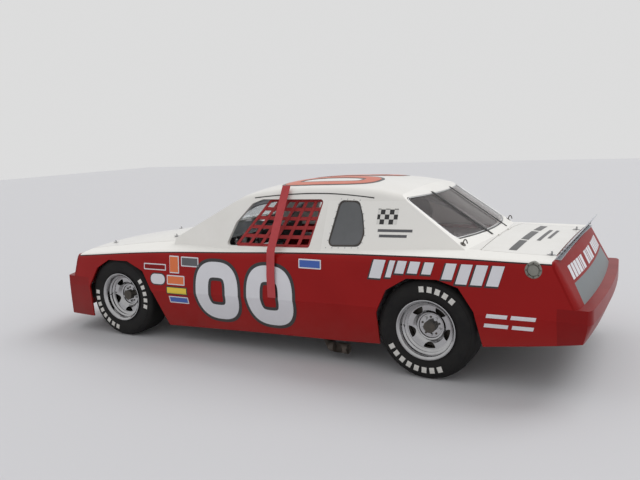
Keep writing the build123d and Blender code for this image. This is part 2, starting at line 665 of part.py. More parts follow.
# Nose fascia with the air dam
grille_back = upper_block(GRILLE_DEPTH)
tail_back = upper_block(TAIL_PANEL_DEPTH)
shelf_limits = upper_block(GRILLE_DEPTH + SKIN)
with BuildPart() as nose:
    add(bumper_skin_outer & box(FASCIA_REAR_X, NOSE_X + 50, -1000, 1000, 0, FASCIA_TOP_Z))
    add(
        bumper_skin_inner & box(FASCIA_REAR_X - 50, NOSE_X, -1000, 1000, -100, FASCIA_TOP_Z - SKIN),
        mode=Mode.SUBTRACT,
    )
    # the shelf is open behind the grille panel
    shelf_band = box(0, NOSE_X, -1000, 1000, FASCIA_TOP_Z - SKIN - 2, FASCIA_TOP_Z + 2)
    add(shelf_limits & shelf_band & inner_lower, mode=Mode.SUBTRACT)
    # air inlets in the dam
    with BuildSketch(Plane.YZ.offset(NOSE_X - 300)):
        with Locations((0, INLET_Z)):
            RectangleRounded(INLET_WIDTH, INLET_HEIGHT, INLET_CORNER)
        with Locations((-SIDE_INLET_Y, INLET_Z), (SIDE_INLET_Y, INLET_Z)):
            RectangleRounded(SIDE_INLET_WIDTH, INLET_HEIGHT, INLET_CORNER)
    extrude(amount=400, mode=Mode.SUBTRACT)
save(nose.part, "nose")

# Grille panel between the fascia and the hood
with BuildPart() as grille_panel:
    add((outer_lower & outer_upper_limits) - (grille_back))
    add(box(FASCIA_REAR_X, NOSE_X, -1000, 1000, FASCIA_TOP_Z, GRILLE_TOP_Z), mode=Mode.INTERSECT)
    with BuildSketch(Plane.YZ.offset(NOSE_X - 500)):
        with Locations((0, GRILLE_SLOT_Z)):
            with GridLocations(0, GRILLE_SLOT_PITCH, 1, 3):
                RectangleRounded(GRILLE_SLOT_WIDTH, GRILLE_SLOT_HEIGHT, GRILLE_SLOT_CORNER)
    extrude(amount=600, mode=Mode.SUBTRACT)
save(grille_panel.part, "grille_panel")

# Panels above the fascia: all cut from the upper skin
behind_grille = grille_back & box(TAIL_X, NOSE_X, -1000, 1000, 0, 1200)
hood_cut = box(HOOD_REAR_X - 500, NOSE_X, -HOOD_HALF_WIDTH, HOOD_HALF_WIDTH, 600, 1200)
with BuildPart() as fenders:
    add(upper_skin & box(DOOR_FRONT_X, NOSE_X, -1000, 1000, 100, 1200) & behind_grille)
    add(box(FASCIA_REAR_X, NOSE_X + 50, -1000, 1000, 0, FASCIA_TOP_Z), mode=Mode.SUBTRACT)
    for cutter in (hood_cut, front_arch, greenhouse):
        add(cutter, mode=Mode.SUBTRACT)
save(fenders.part, "fenders")

# Door skins: closed with the body, as on a car whose driver climbs in by the window
with BuildPart() as doors:
    add(upper_skin & box(DOOR_REAR_X, DOOR_FRONT_X, -1000, 1000, 100, 1200))
    add(box(DOOR_REAR_X, DOOR_FRONT_X, -HOOD_HALF_WIDTH, HOOD_HALF_WIDTH, 600, 1200), mode=Mode.SUBTRACT)
    add(greenhouse, mode=Mode.SUBTRACT)
save(doors.part, "doors")

hood_axis = (HOOD_REAR_X - GAP / 2, seam_top(HOOD_REAR_X - GAP))
hood_hinges = hinge_sides(hood_axis)
with BuildPart() as hood:
    add(upper_skin & behind_grille)
    add(
        box(HOOD_REAR_X, NOSE_X, -HOOD_HALF_WIDTH + GAP, HOOD_HALF_WIDTH - GAP, 600, 1200),
        mode=Mode.INTERSECT,
    )
    # the hood's front edge stays clear of the grille panel
    add(behind_grille - upper_block(GRILLE_DEPTH + GAP), mode=Mode.SUBTRACT)
    add(greenhouse, mode=Mode.SUBTRACT)
    lid_side(hood_hinges)
save(hood.part, "hood")

# Fixed panel between the hood and the windshield
with BuildPart() as cowl:
    add(upper_skin & box(COWL_REAR_X, HOOD_REAR_X - GAP, -HOOD_HALF_WIDTH, HOOD_HALF_WIDTH, 600, 1200))
    add(greenhouse, mode=Mode.SUBTRACT)
    fixed_side(hood_hinges)
save(cowl.part, "cowl")

# Greenhouse shell with its window openings
greenhouse_shell = greenhouse - greenhouse_inside
with BuildPart() as end_apertures:
    for x, top_z, bottom_z, top_y, bottom_y in (
        (0, WINDSHIELD_TOP_Z, WINDSHIELD_SILL_Z, WINDSHIELD_TOP_Y, WINDSHIELD_SILL_Y),
        (-2200, REAR_GLASS_TOP_Z, REAR_GLASS_SILL_Z, REAR_GLASS_TOP_Y, REAR_GLASS_SILL_Y),
    ):
        with BuildSketch(Plane.YZ.offset(x)) as aperture:
            with BuildLine():
                Polyline((-bottom_y, bottom_z), (bottom_y, bottom_z), (top_y, top_z), (-top_y, top_z), close=True)
            make_face()
            fillet(aperture.vertices(), APERTURE_RADIUS)
        extrude(amount=1300 if x else 1200)
front_aperture, rear_aperture = end_apertures.part.solids().sort_by(Axis.X, reverse=True)
side_window_cut = side_cutter(DOOR_WINDOW, WINDOW_CORNER_RADIUS, -1000, 1000)
quarter_window_cut = side_cutter(QUARTER_WINDOW, QUARTER_CORNER_RADIUS, -1000, 1000)

glass_outer = glass_block(GLASS_SET_BACK)
glass_inner = glass_block(GLASS_SET_BACK + GLASS_THICKNESS)
with BuildPart() as windshield:
    add(front_aperture)
    add(glass_outer, mode=Mode.INTERSECT)
    add(glass_inner, mode=Mode.SUBTRACT)
save(windshield.part, "windshield")
with BuildPart() as rear_window:
    add(rear_aperture)
    add(glass_outer, mode=Mode.INTERSECT)
    add(glass_inner, mode=Mode.SUBTRACT)
save(rear_window.part, "rear_window")

with BuildPart() as open_shell:
    add(greenhouse_shell)
    for cutter in (front_aperture, rear_aperture, side_window_cut, quarter_window_cut):
        add(cutter, mode=Mode.SUBTRACT)
    # the shell stands on the body panels below the belt
    add(box(TAIL_X, NOSE_X, -1000, 1000, 0, SHELL_BASE_Z), mode=Mode.SUBTRACT)

# Sail panels belong to the quarters, the rest is the roof with its pillars
sail_zone = box(SAIL_FRONT_X, TAIL_X, -1000, 1000, 0, SAIL_TOP_Z)
with BuildPart() as roof:
    add(open_shell.part - sail_zone)
save(roof.part, "roof")

with BuildPart() as quarter_windows:
    glass_band = greenhouse_form(GLASS_SET_BACK) - greenhouse_form(GLASS_SET_BACK + GLASS_THICKNESS)
    add(glass_band & quarter_window_cut)
save(quarter_windows.part, "quarter_windows")

# Quarters, deck, tail panel and rear bumper cover
deck_cut = box(DECK_FRONT_X, DECK_REAR_X, -DECK_HALF_WIDTH, DECK_HALF_WIDTH, 600, 1200)
with BuildPart() as quarters:
    add((upper_skin & tail_back) & box(TAIL_X, DOOR_REAR_X, -1000, 1000, 100, 1300))
    add(box(COVER_FRONT_X, TAIL_X, -1000, 1000, 0, COVER_TOP_Z), mode=Mode.SUBTRACT)
    add(box(TAIL_X, DOOR_REAR_X, -DECK_HALF_WIDTH, DECK_HALF_WIDTH, 600, 1300), mode=Mode.SUBTRACT)
    add(greenhouse, mode=Mode.SUBTRACT)
    add(rear_arch, mode=Mode.SUBTRACT)
    add((open_shell.part & sail_zone) - box(TAIL_X, DECK_FRONT_X, -DECK_HALF_WIDTH, DECK_HALF_WIDTH, 0, 1300))
    with BuildSketch(Plane.XZ.offset(-1000)):
        with Locations((FILLER_X, FILLER_Z)):
            Circle(FILLER_RADIUS)
    extrude(amount=400, mode=Mode.SUBTRACT)
save(quarters.part, "quarters")

deck_axis = (DECK_FRONT_X - GAP / 2, seam_top(DECK_FRONT_X - GAP))
deck_hinges = hinge_sides(deck_axis)
with BuildPart() as decklid:
    add(upper_skin & tail_back)
    add(
        box(DECK_FRONT_X - GAP, DECK_REAR_X + GAP, -DECK_HALF_WIDTH + GAP, DECK_HALF_WIDTH - GAP, 600, 1200),
        mode=Mode.INTERSECT,
    )
    lid_side(deck_hinges)
save(decklid.part, "decklid")

with BuildPart() as deck_filler:
    add((upper_skin & box(DECK_FRONT_X, -1000, -DECK_HALF_WIDTH, DECK_HALF_WIDTH, 600, 1200)) - greenhouse)
    fixed_side(deck_hinges)
save(deck_filler.part, "deck_filler")

with BuildPart() as tail_panel:
    add((outer_lower & outer_upper_limits) - tail_back)
    add(box(TAIL_X, -1800, -1000, 1000, COVER_TOP_Z, 1200), mode=Mode.INTERSECT)
    add((upper_skin & tail_back) & box(TAIL_X, DECK_REAR_X, -DECK_HALF_WIDTH, DECK_HALF_WIDTH, 780, 1200))
save(tail_panel.part, "tail_panel")

with BuildPart() as rear_bumper:
    add(bumper_skin_outer & box(TAIL_X - 50, COVER_FRONT_X, -1000, 1000, 0, COVER_TOP_Z))
    add(
        bumper_skin_inner & box(TAIL_X, COVER_FRONT_X + 50, -1000, 1000, -100, COVER_TOP_Z - SKIN),
        mode=Mode.SUBTRACT,
    )
    # and so is this one, behind the tail panel
    shelf_band = box(TAIL_X, 0, -1000, 1000, COVER_TOP_Z - SKIN - 2, COVER_TOP_Z + 2)
    add(shelf_limits & shelf_band & inner_lower, mode=Mode.SUBTRACT)
save(rear_bumper.part, "rear_bumper")

with BuildPart() as fuel_filler:
    with BuildSketch(Plane.XZ.offset(-FILLER_Y)):
        with Locations((FILLER_X, FILLER_Z)):
            Circle(FILLER_RADIUS)
    extrude(amount=60)
    with BuildSketch(Plane.XZ.offset(-FILLER_Y)):
        with Locations((FILLER_X, FILLER_Z)):
            Circle(FILLER_RADIUS - 12)
            Circle(FILLER_CAP_RADIUS, mode=Mode.SUBTRACT)
    extrude(amount=10, mode=Mode.SUBTRACT)
save(fuel_filler.part, "fuel_filler")

# Spoiler: a flange that follows the tail and a blade that leans back
with BuildPart() as spoiler:
    with BuildSketch(Plane.XZ.offset(-SPOILER_HALF_WIDTH)):
        with BuildLine():
            Polyline(*SPOILER_BLADE, close=True)
        make_face()
    extrude(amount=2 * SPOILER_HALF_WIDTH)
    flange_reach = box(
        SPOILER_BASE_X, SPOILER_BASE_X - SPOILER_FLANGE, -SPOILER_HALF_WIDTH, SPOILER_HALF_WIDTH, 700, 1000
    )
    add((Pos(0, 0, SPOILER_THICKNESS) * outer_lower) & flange_reach)
    add(outer_lower, mode=Mode.SUBTRACT)
save(spoiler.part, "spoiler")

# Straps over the rear glass, from the roof to the deck filler
with BuildPart() as glass_straps:
    strap_outer = glass_block(-STRAP_THICKNESS)
    strap_inner = glass_block(0)
    for y in (-GLASS_STRAP_Y, GLASS_STRAP_Y):
        reach = box(-1640, -960, y - GLASS_STRAP_WIDTH / 2, y + GLASS_STRAP_WIDTH / 2, 915, 1222)
        add((strap_outer & reach) - strap_inner)
save(glass_straps.part, "glass_straps")

# Chassis frame: side rails, front and rear clips, crossmembers
with BuildPart() as frame_rails:
    for start, end in FRAME_RUNS:
        for sign in (1, -1):
            a = Vector(start[0], sign * start[1], start[2])
            b = Vector(end[0], sign * end[1], end[2])
            with BuildSketch(Plane(origin=a, x_dir=(0, 0, 1), z_dir=b - a)):
                Rectangle(FRAME_TUBE_HEIGHT, FRAME_TUBE_WIDTH)
            extrude(amount=(b - a).length)
            for joint in (a, b):
                with Locations(joint):
                    Box(FRAME_TUBE_WIDTH, FRAME_TUBE_WIDTH, FRAME_TUBE_HEIGHT)
    for half_x, y_from, y_to, z_from, z_to in SPRING_TOWERS:
        for sign in (1, -1):
            add(box(FRONT_AXLE_X - half_x, FRONT_AXLE_X + half_x, sign * y_from, sign * y_to, z_from, z_to))
save(frame_rails.part, "frame_rails")

# The crossmembers are welded between the rails, and the end ones carry the tow plates
with BuildPart() as crossmembers:
    for x, half_x, half_y, z, height in CROSSMEMBERS:
        with Locations((x, 0, z)):
            Box(2 * half_x, 2 * half_y, height)
    for x, outward, underside_z in TOW_PLATES:
        with BuildSketch(Plane.XY.offset(underside_z)):
            with Locations((x + outward * TOW_PLATE_REACH, 0)):
                RectangleRounded(TOW_PLATE_LENGTH, TOW_PLATE_WIDTH, TOW_PLATE_CORNER)
            with Locations((x + outward * TOW_EYE_REACH, 0)):
                Circle(TOW_EYE_RADIUS, mode=Mode.SUBTRACT)
        extrude(amount=-TOW_PLATE_THICKNESS)
    add(frame_rails.part, mode=Mode.SUBTRACT)
save(crossmembers.part, "crossmembers")

# Roll cage
with BuildPart() as roll_cage:
    for points in CAGE_RUNS:
        add(tube(points, CAGE_RADIUS))
        if any(y for _, y, _ in points):
            add(tube(mirrored(points), CAGE_RADIUS))
    add(frame_rails.part, mode=Mode.SUBTRACT)
save(roll_cage.part, "roll_cage")

with BuildPart() as door_bars:
    for bar_z in DOOR_BAR_HEIGHTS:
        leg_x = DASH_BAR_X + DASH_LEG_RUN * (DASH_BAR_Z - bar_z) / (DASH_BAR_Z - FLOOR_Z)
        bar = [(HOOP_X, 690, bar_z), (DOOR_BAR_FRONT_X, DOOR_BAR_Y, bar_z), (leg_x, CAGE_FOOT_Y, bar_z)]
        add(tube(bar, CAGE_RADIUS))
        add(tube(mirrored(bar), CAGE_RADIUS))
    add(roll_cage.part, mode=Mode.SUBTRACT)
save(door_bars.part, "door_bars")

# Steering column and wheel share one slanted line
column_axis = Vector(cos(radians(COLUMN_SLOPE)), 0, -sin(radians(COLUMN_SLOPE)))
wheel_hub = Vector(STEERING_WHEEL_X, SEAT_Y, STEERING_WHEEL_Z)
with BuildPart() as steering_column:
    with BuildSketch(Plane(origin=wheel_hub + column_axis * 30, z_dir=column_axis)):
        Circle(COLUMN_RADIUS)
    extrude(amount=COLUMN_LENGTH)
save(steering_column.part, "steering_column")
# Floor with its tunnel, between the side rails and the sills
with BuildPart() as floor_pan:
    # the floor reaches out to the inner faces of the body skins
    add(inner_lower & box(FLOOR_REAR_X, FLOOR_FRONT_X, -1000, 1000, FLOOR_Z, FLOOR_Z + FLOOR_THICKNESS))
    with BuildSketch(Plane.YZ.offset(FLOOR_REAR_X)):
        with Locations((0, TUNNEL_Z)):
            Circle(TUNNEL_RADIUS)
    extrude(amount=FLOOR_FRONT_X - FLOOR_REAR_X)
    with BuildSketch(Plane.YZ.offset(FLOOR_REAR_X)):
        with Locations((0, TUNNEL_Z)):
            Circle(TUNNEL_RADIUS - FLOOR_THICKNESS)
        with Locations((0, FLOOR_Z - 200)):
            Rectangle(2 * TUNNEL_RADIUS, 400)
    extrude(amount=FLOOR_FRONT_X - FLOOR_REAR_X, mode=Mode.SUBTRACT)
    for piece in (frame_rails, crossmembers, roll_cage, door_bars):
        add(piece.part, mode=Mode.SUBTRACT)
save(floor_pan.part, "floor_pan")

# Bulkheads close the cabin in front and behind
cabin_inside = inner_lower & inner_upper_limits
with BuildPart() as firewall:
    add(cabin_inside & box(FIREWALL_X - SHEET, FIREWALL_X, -1000, 1000, FLOOR_Z, 1200))
    with BuildSketch(Plane.YZ.offset(FIREWALL_X - 50)):
        with Locations((0, TUNNEL_Z)):
            Circle(TUNNEL_RADIUS)
    extrude(amount=100, mode=Mode.SUBTRACT)
    for piece in (frame_rails, roll_cage, door_bars, steering_column, roof):
        add(piece.part, mode=Mode.SUBTRACT)
with BuildPart() as rear_shelf:
    add((inner_lower & greenhouse_inside) & box(SHELF_REAR_X, SHELF_FRONT_X, -1000, 1000, SHELF_Z, SHELF_Z + SHEET))
    add(cabin_inside & box(SHELF_FRONT_X - SHEET, SHELF_FRONT_X, -700, 700, FLOOR_Z + FLOOR_THICKNESS, SHELF_Z))
    with BuildSketch(Plane.YZ.offset(SHELF_FRONT_X - 50)):
        with Locations((0, TUNNEL_Z)):
            Circle(TUNNEL_RADIUS)
    extrude(amount=100, mode=Mode.SUBTRACT)
    for piece in (frame_rails, crossmembers, roll_cage, door_bars):
        add(piece.part, mode=Mode.SUBTRACT)
with BuildPart() as bulkheads:
    add(firewall.part)
    add(rear_shelf.part)
save(bulkheads.part, "bulkheads")

# Rear wheel tubs
with BuildPart() as wheel_tubs:
    for sign in (1, -1):
        with BuildSketch(Plane.XZ.offset(-sign * TUB_INNER_Y)):
            with Locations((REAR_AXLE_X, HUB_Z)):
                Circle(TUB_RADIUS)
            with Locations((REAR_AXLE_X, HUB_Z - 300)):
                Rectangle(2 * TUB_RADIUS + 10, 600, mode=Mode.SUBTRACT)
        extrude(amount=-sign * (TUB_OUTER_Y - TUB_INNER_Y))
        with BuildSketch(Plane.XZ.offset(-sign * (TUB_INNER_Y + SHEET))):
            with Locations((REAR_AXLE_X, HUB_Z)):
                Circle(TUB_RADIUS - SHEET)
        extrude(amount=-sign * 400, mode=Mode.SUBTRACT)
    with BuildSketch(Plane.XZ.offset(-TUB_OUTER_Y)):
        with Locations((REAR_AXLE_X, HUB_Z)):
            with Locations(Rotation(0, 0, 90)):
                SlotOverall(AXLE_SLOT_HEIGHT, AXLE_SLOT_WIDTH)
    extrude(amount=2 * TUB_OUTER_Y, mode=Mode.SUBTRACT)
    add(inner_lower, mode=Mode.INTERSECT)
save(wheel_tubs.part, "wheel_tubs")

# Seat: a bent shell with side bolsters
with BuildPart() as seat:
    with BuildSketch(Plane.XZ.offset(-(SEAT_Y + SEAT_WIDTH / 2))):
        with BuildLine():
            Polyline(*SEAT_PROFILE, close=True)
        make_face()
    extrude(amount=SEAT_WIDTH)
    with BuildSketch(Plane.XZ.offset(-(SEAT_Y + SEAT_WIDTH / 2 - SEAT_SHELL))):
        with BuildLine():
            Polyline(*SEAT_HOLLOW, close=True)
        make_face()
    extrude(amount=SEAT_WIDTH - 2 * SEAT_SHELL, mode=Mode.SUBTRACT)
save(seat.part, "seat")

# Dashboard
with BuildPart() as dashboard:
    with BuildSketch(Plane.XZ.offset(-DASH_HALF_WIDTH)):
        with BuildLine():
            Polyline(*DASH_PROFILE, close=True)
        make_face()
    extrude(amount=2 * DASH_HALF_WIDTH)
    for piece in (steering_column, roll_cage):
        add(piece.part, mode=Mode.SUBTRACT)
save(dashboard.part, "dashboard")

# Steering wheel
with BuildPart() as steering_wheel:
    wheel_face = Plane(origin=wheel_hub, x_dir=(0, 1, 0), z_dir=-column_axis)
    with BuildSketch(Plane(origin=wheel_hub, x_dir=(0, 1, 0), z_dir=wheel_face.y_dir)):
        with Locations((STEERING_WHEEL_RADIUS, 0)):
            Circle(STEERING_RIM_RADIUS)
    revolve(axis=Axis(wheel_hub, column_axis))
    with BuildSketch(wheel_face.offset(-5)):
        Circle(34)
        for angle in (0, 120, 240):
            with Locations(Rotation(0, 0, 90 + angle)):
                with Locations((STEERING_WHEEL_RADIUS / 2, 0)):
                    Rectangle(STEERING_WHEEL_RADIUS, 28)
    extrude(amount=6)
    with BuildSketch(wheel_face.offset(-24)):
        Circle(22)
    extrude(amount=20)
save(steering_wheel.part, "steering_wheel")

# Window net and hanging strap
with BuildPart() as window_net:
    with BuildSketch(Plane.XZ) as net_outline:
        with BuildLine():
            Polyline(*NET_OUTLINE, close=True)
        make_face()
        with Locations(NET_GRID_CENTRE):
            with GridLocations(NET_PITCH_X, NET_PITCH_Z, NET_COLUMNS, NET_ROWS):
                Rectangle(NET_PITCH_X - NET_RIBBON, NET_PITCH_Z - NET_RIBBON, mode=Mode.SUBTRACT)
    extrude(amount=-1000)
    net_shell = greenhouse_form(PILLAR_THICKNESS) - greenhouse_form(PILLAR_THICKNESS + NET_THICKNESS)
    add(net_shell & box(NOSE_X, TAIL_X, 0, 1000, BELT_Z - 20, 1300), mode=Mode.INTERSECT)
save(window_net.part, "window_net")
with BuildPart() as webbing_strap:
    with BuildSketch(Plane.YZ.offset(STRAP_X - STRAP_WIDTH / 2)):
        with BuildLine():
            Polyline(*STRAP_PROFILE, close=True)
        make_face()
    extrude(amount=STRAP_WIDTH)
save(webbing_strap.part, "webbing_strap")

# Engine, gearbox, shafts, radiator and exhaust
with BuildPart() as engine_block:
    with Locations((ENGINE_X, 0, FRONT_CROSSMEMBER_TOP_Z + ENGINE_HEIGHT / 2)):
        Box(ENGINE_LENGTH, ENGINE_WIDTH, ENGINE_HEIGHT)
save(engine_block.part, "engine_block")
with BuildPart() as gearbox:
    with BuildSketch(Plane.YZ.offset(GEARBOX_FRONT_X)):
        with Locations((0, SHAFT_Z)):
            Circle(GEARBOX_FRONT_RADIUS)
    with BuildSketch(Plane.YZ.offset(GEARBOX_REAR_X)):
        with Locations((0, SHAFT_Z)):
            Circle(GEARBOX_REAR_RADIUS)
    loft()
save(gearbox.part, "gearbox")
with BuildPart() as driveshaft:
    with BuildSketch(Plane.YZ.offset(GEARBOX_REAR_X)):
        with Locations((0, SHAFT_Z)):
            Circle(DRIVESHAFT_RADIUS)
    extrude(amount=-(GEARBOX_REAR_X - REAR_AXLE_X - PINION_LENGTH))
save(driveshaft.part, "driveshaft")
with BuildPart() as radiator:
    with Locations((RADIATOR_X, 0, RADIATOR_Z)):
        Box(RADIATOR_DEPTH, RADIATOR_WIDTH, RADIATOR_HEIGHT)
save(radiator.part, "radiator")
with BuildPart() as exhaust:
    add(tube(EXHAUST_ROUTE, EXHAUST_RADIUS))
    with BuildSketch(Plane(origin=EXHAUST_ROUTE[-1], z_dir=(-1, 0, 0))):
        Circle(EXHAUST_RADIUS - EXHAUST_WALL)
    extrude(amount=-120, mode=Mode.SUBTRACT)
    add(engine_block.part, mode=Mode.SUBTRACT)
save(exhaust.part, "exhaust")

# Rear axle: centre housing, tubes and trailing arms
with BuildPart() as rear_axle:
    with BuildSketch(Plane.XZ.offset(AXLE_END_Y)):
        with Locations((REAR_AXLE_X, HUB_Z)):
            Circle(AXLE_TUBE_RADIUS)
    extrude(amount=-2 * AXLE_END_Y)
    # the shafts that carry the rear hubs
    with BuildSketch(Plane.XZ.offset(SPINDLE_END_Y)):
        with Locations((REAR_AXLE_X, HUB_Z)):
            Circle(SPINDLE_RADIUS)
    extrude(amount=-2 * SPINDLE_END_Y)
    with BuildSketch(Plane.YZ.offset(REAR_AXLE_X - 130)):
        with Locations((0, HUB_Z)):
            Circle(DIFFERENTIAL_RADIUS)
    extrude(amount=200)
    with BuildSketch(Plane.YZ.offset(REAR_AXLE_X)):
        with Locations((0, HUB_Z)):
            Circle(66)
    extrude(amount=PINION_LENGTH)
    fillet(rear_axle.edges().filter_by(GeomType.CIRCLE).group_by(Axis.X)[0], 30)
save(rear_axle.part, "rear_axle")
with BuildPart() as trailing_arms:
    for sign in (1, -1):
        start = Vector(REAR_AXLE_X, sign * ARM_REAR_Y, HUB_Z - AXLE_TUBE_RADIUS - ARM_HEIGHT / 2)
        end = Vector(ARM_FRONT_X, sign * ARM_FRONT_Y, ARM_FRONT_Z)
        with BuildSketch(Plane(origin=start, x_dir=(0, 0, 1), z_dir=end - start)):
            Rectangle(ARM_HEIGHT, ARM_WIDTH)
        extrude(amount=(end - start).length)
    add(rear_axle.part, mode=Mode.SUBTRACT)

with BuildPart() as springs:
    for x, y, low, high in SPRINGS:
        for sign in (1, -1):
            with BuildSketch(Plane.XY.offset(low)):
                with Locations((x, sign * y)):
                    Circle(SPRING_RADIUS)
                    Circle(SPRING_RADIUS - SPRING_WALL, mode=Mode.SUBTRACT)
            extrude(amount=high - low)
    for piece in (trailing_arms, frame_rails, rear_axle):
        add(piece.part, mode=Mode.SUBTRACT)
save(springs.part, "springs")

# Fuel cell
with BuildPart() as fuel_cell:
    cell_front_x = CELL_CROSSMEMBER_X - CROSSMEMBER_HALF_WIDTH
    cell_rear_x = FRAME_TAIL_X + CROSSMEMBER_HALF_WIDTH
    with Locations(((cell_front_x + cell_rear_x) / 2, 0, FUEL_CELL_TOP_Z - FUEL_CELL_HEIGHT / 2)):
        Box(cell_front_x - cell_rear_x, FUEL_CELL_WIDTH, FUEL_CELL_HEIGHT)
    fillet(fuel_cell.edges().filter_by(Axis.Z), FUEL_CELL_CORNER)
save(fuel_cell.part, "fuel_cell")

# Front suspension arms and steered knuckles
with BuildPart() as control_arms:
    for z, inner_y, spread, pin_from, pin_to in CONTROL_ARMS:
        for sign in (1, -1):
            tip = (FRONT_AXLE_X, sign * KINGPIN_Y, z)
            for dx in (-spread, spread):
                inner = (FRONT_AXLE_X + dx, sign * inner_y, z)
                add(tube([inner, tip], ARM_TUBE_RADIUS))
            with BuildSketch(Plane.XY.offset(z - 16)):
                with Locations((FRONT_AXLE_X, sign * KINGPIN_Y)):
                    Circle(26)
            extrude(amount=32)
            with BuildSketch(Plane.XY.offset(pin_from)):
                with Locations((FRONT_AXLE_X, sign * KINGPIN_Y)):
                    Circle(BALL_STUD_RADIUS)
            extrude(amount=pin_to - pin_from)
    for sign in (1, -1):
        add(box(FRONT_AXLE_X - 100, FRONT_AXLE_X + 100, sign * 430, sign * 534, LOWER_ARM_Z - 4, LOWER_ARM_Z + 8))
    for piece in (frame_rails, crossmembers):
        add(piece.part, mode=Mode.SUBTRACT)
with BuildPart() as suspension_arms:
    add(control_arms.part)
    add(trailing_arms.part)
save(suspension_arms.part, "suspension_arms")

for side, sign in (("left", 1), ("right", -1)):
    with BuildPart() as knuckle:
        with Locations((FRONT_AXLE_X, sign * KINGPIN_Y, (KNUCKLE_LOW_Z + KNUCKLE_HIGH_Z) / 2)):
            Cylinder(KNUCKLE_RADIUS, KNUCKLE_HIGH_Z - KNUCKLE_LOW_Z)
        with BuildSketch(Plane.XZ.offset(-sign * KINGPIN_Y)):
            with Locations((FRONT_AXLE_X, HUB_Z)):
                Circle(SPINDLE_BOSS_RADIUS)
        extrude(amount=-sign * (SPINDLE_BOSS_END_Y - KINGPIN_Y))
        with BuildSketch(Plane.XZ.offset(-sign * KINGPIN_Y)):
            with Locations((FRONT_AXLE_X, HUB_Z)):
                Circle(SPINDLE_RADIUS)
        extrude(amount=-sign * (SPINDLE_END_Y - KINGPIN_Y))
        with Locations((FRONT_AXLE_X, sign * KINGPIN_Y, 0)):
            Cylinder(BALL_STUD_RADIUS + 1, 2000, mode=Mode.SUBTRACT)
    save(knuckle.part, f"knuckle_{side}")

# Wheels: a hub with its brake disc, a slotted steel rim and a slick tyre
RIM_PROFILE = [
    (RIM_RADIUS, RIM_HALF_WIDTH),
    (RIM_RADIUS, RIM_HALF_WIDTH - 8),
    (BEAD_RADIUS + 4, RIM_HALF_WIDTH - 14),
    (BEAD_RADIUS, RIM_HALF_WIDTH - 20),
    (BEAD_RADIUS, 82),
    (STEP_RADIUS, 74),
    (STEP_RADIUS, 62),
    (BARREL_RADIUS, 54),
    (BARREL_RADIUS, -60),
    (BEAD_RADIUS, -80),
    (BEAD_RADIUS, 20 - RIM_HALF_WIDTH),
    (BEAD_RADIUS + 4, 14 - RIM_HALF_WIDTH),
    (RIM_RADIUS, 8 - RIM_HALF_WIDTH),
    (RIM_RADIUS, -RIM_HALF_WIDTH),
    (RIM_RADIUS - RIM_WALL, -RIM_HALF_WIDTH),
    (BEAD_RADIUS - 2, 10 - RIM_HALF_WIDTH),
    (BEAD_RADIUS - RIM_WALL, 18 - RIM_HALF_WIDTH),
    (BEAD_RADIUS - RIM_WALL, -84),
    (BARREL_RADIUS - RIM_WALL, -63),
    (BARREL_RADIUS - RIM_WALL, 57),
    (STEP_RADIUS - RIM_WALL, 65),
    (STEP_RADIUS - RIM_WALL, 77),
    (BEAD_RADIUS - RIM_WALL, 85),
    (BEAD_RADIUS - RIM_WALL, RIM_HALF_WIDTH - 18),
    (BEAD_RADIUS - 2, RIM_HALF_WIDTH - 10),
    (RIM_RADIUS - RIM_WALL, RIM_HALF_WIDTH),
]
DISC_TOP = [
    (HUB_BORE_RADIUS, DISC_FACE), (82, DISC_FACE), (86, DISC_FACE + 8), (96, DISC_FACE + 10),
    (118, DISC_FACE + 32), (BARREL_RADIUS - 3, DISC_FACE + 38),
]
DISC_PROFILE = DISC_TOP + [(r, w - DISC_THICKNESS) for r, w in reversed(DISC_TOP)]
TYRE_PROFILE = [
    (BEAD_RADIUS, 84), (BEAD_RADIUS, RIM_HALF_WIDTH - 20), (BEAD_RADIUS + 12, RIM_HALF_WIDTH - 16),
    (262, TYRE_HALF_WIDTH), (300, TYRE_HALF_WIDTH), (332, TYRE_HALF_WIDTH - 8), (TYRE_RADIUS, TREAD_HALF_WIDTH),
    (TYRE_RADIUS, -TREAD_HALF_WIDTH), (332, 8 - TYRE_HALF_WIDTH), (300, -TYRE_HALF_WIDTH),
    (262, -TYRE_HALF_WIDTH), (BEAD_RADIUS + 12, 16 - RIM_HALF_WIDTH), (BEAD_RADIUS, 20 - RIM_HALF_WIDTH),
    (BEAD_RADIUS, -84), (262, TYRE_WALL - TYRE_HALF_WIDTH), (TYRE_RADIUS - TYRE_WALL, -TREAD_HALF_WIDTH + 10),
    (TYRE_RADIUS - TYRE_WALL, TREAD_HALF_WIDTH - 10), (262, TYRE_HALF_WIDTH - TYRE_WALL),
]
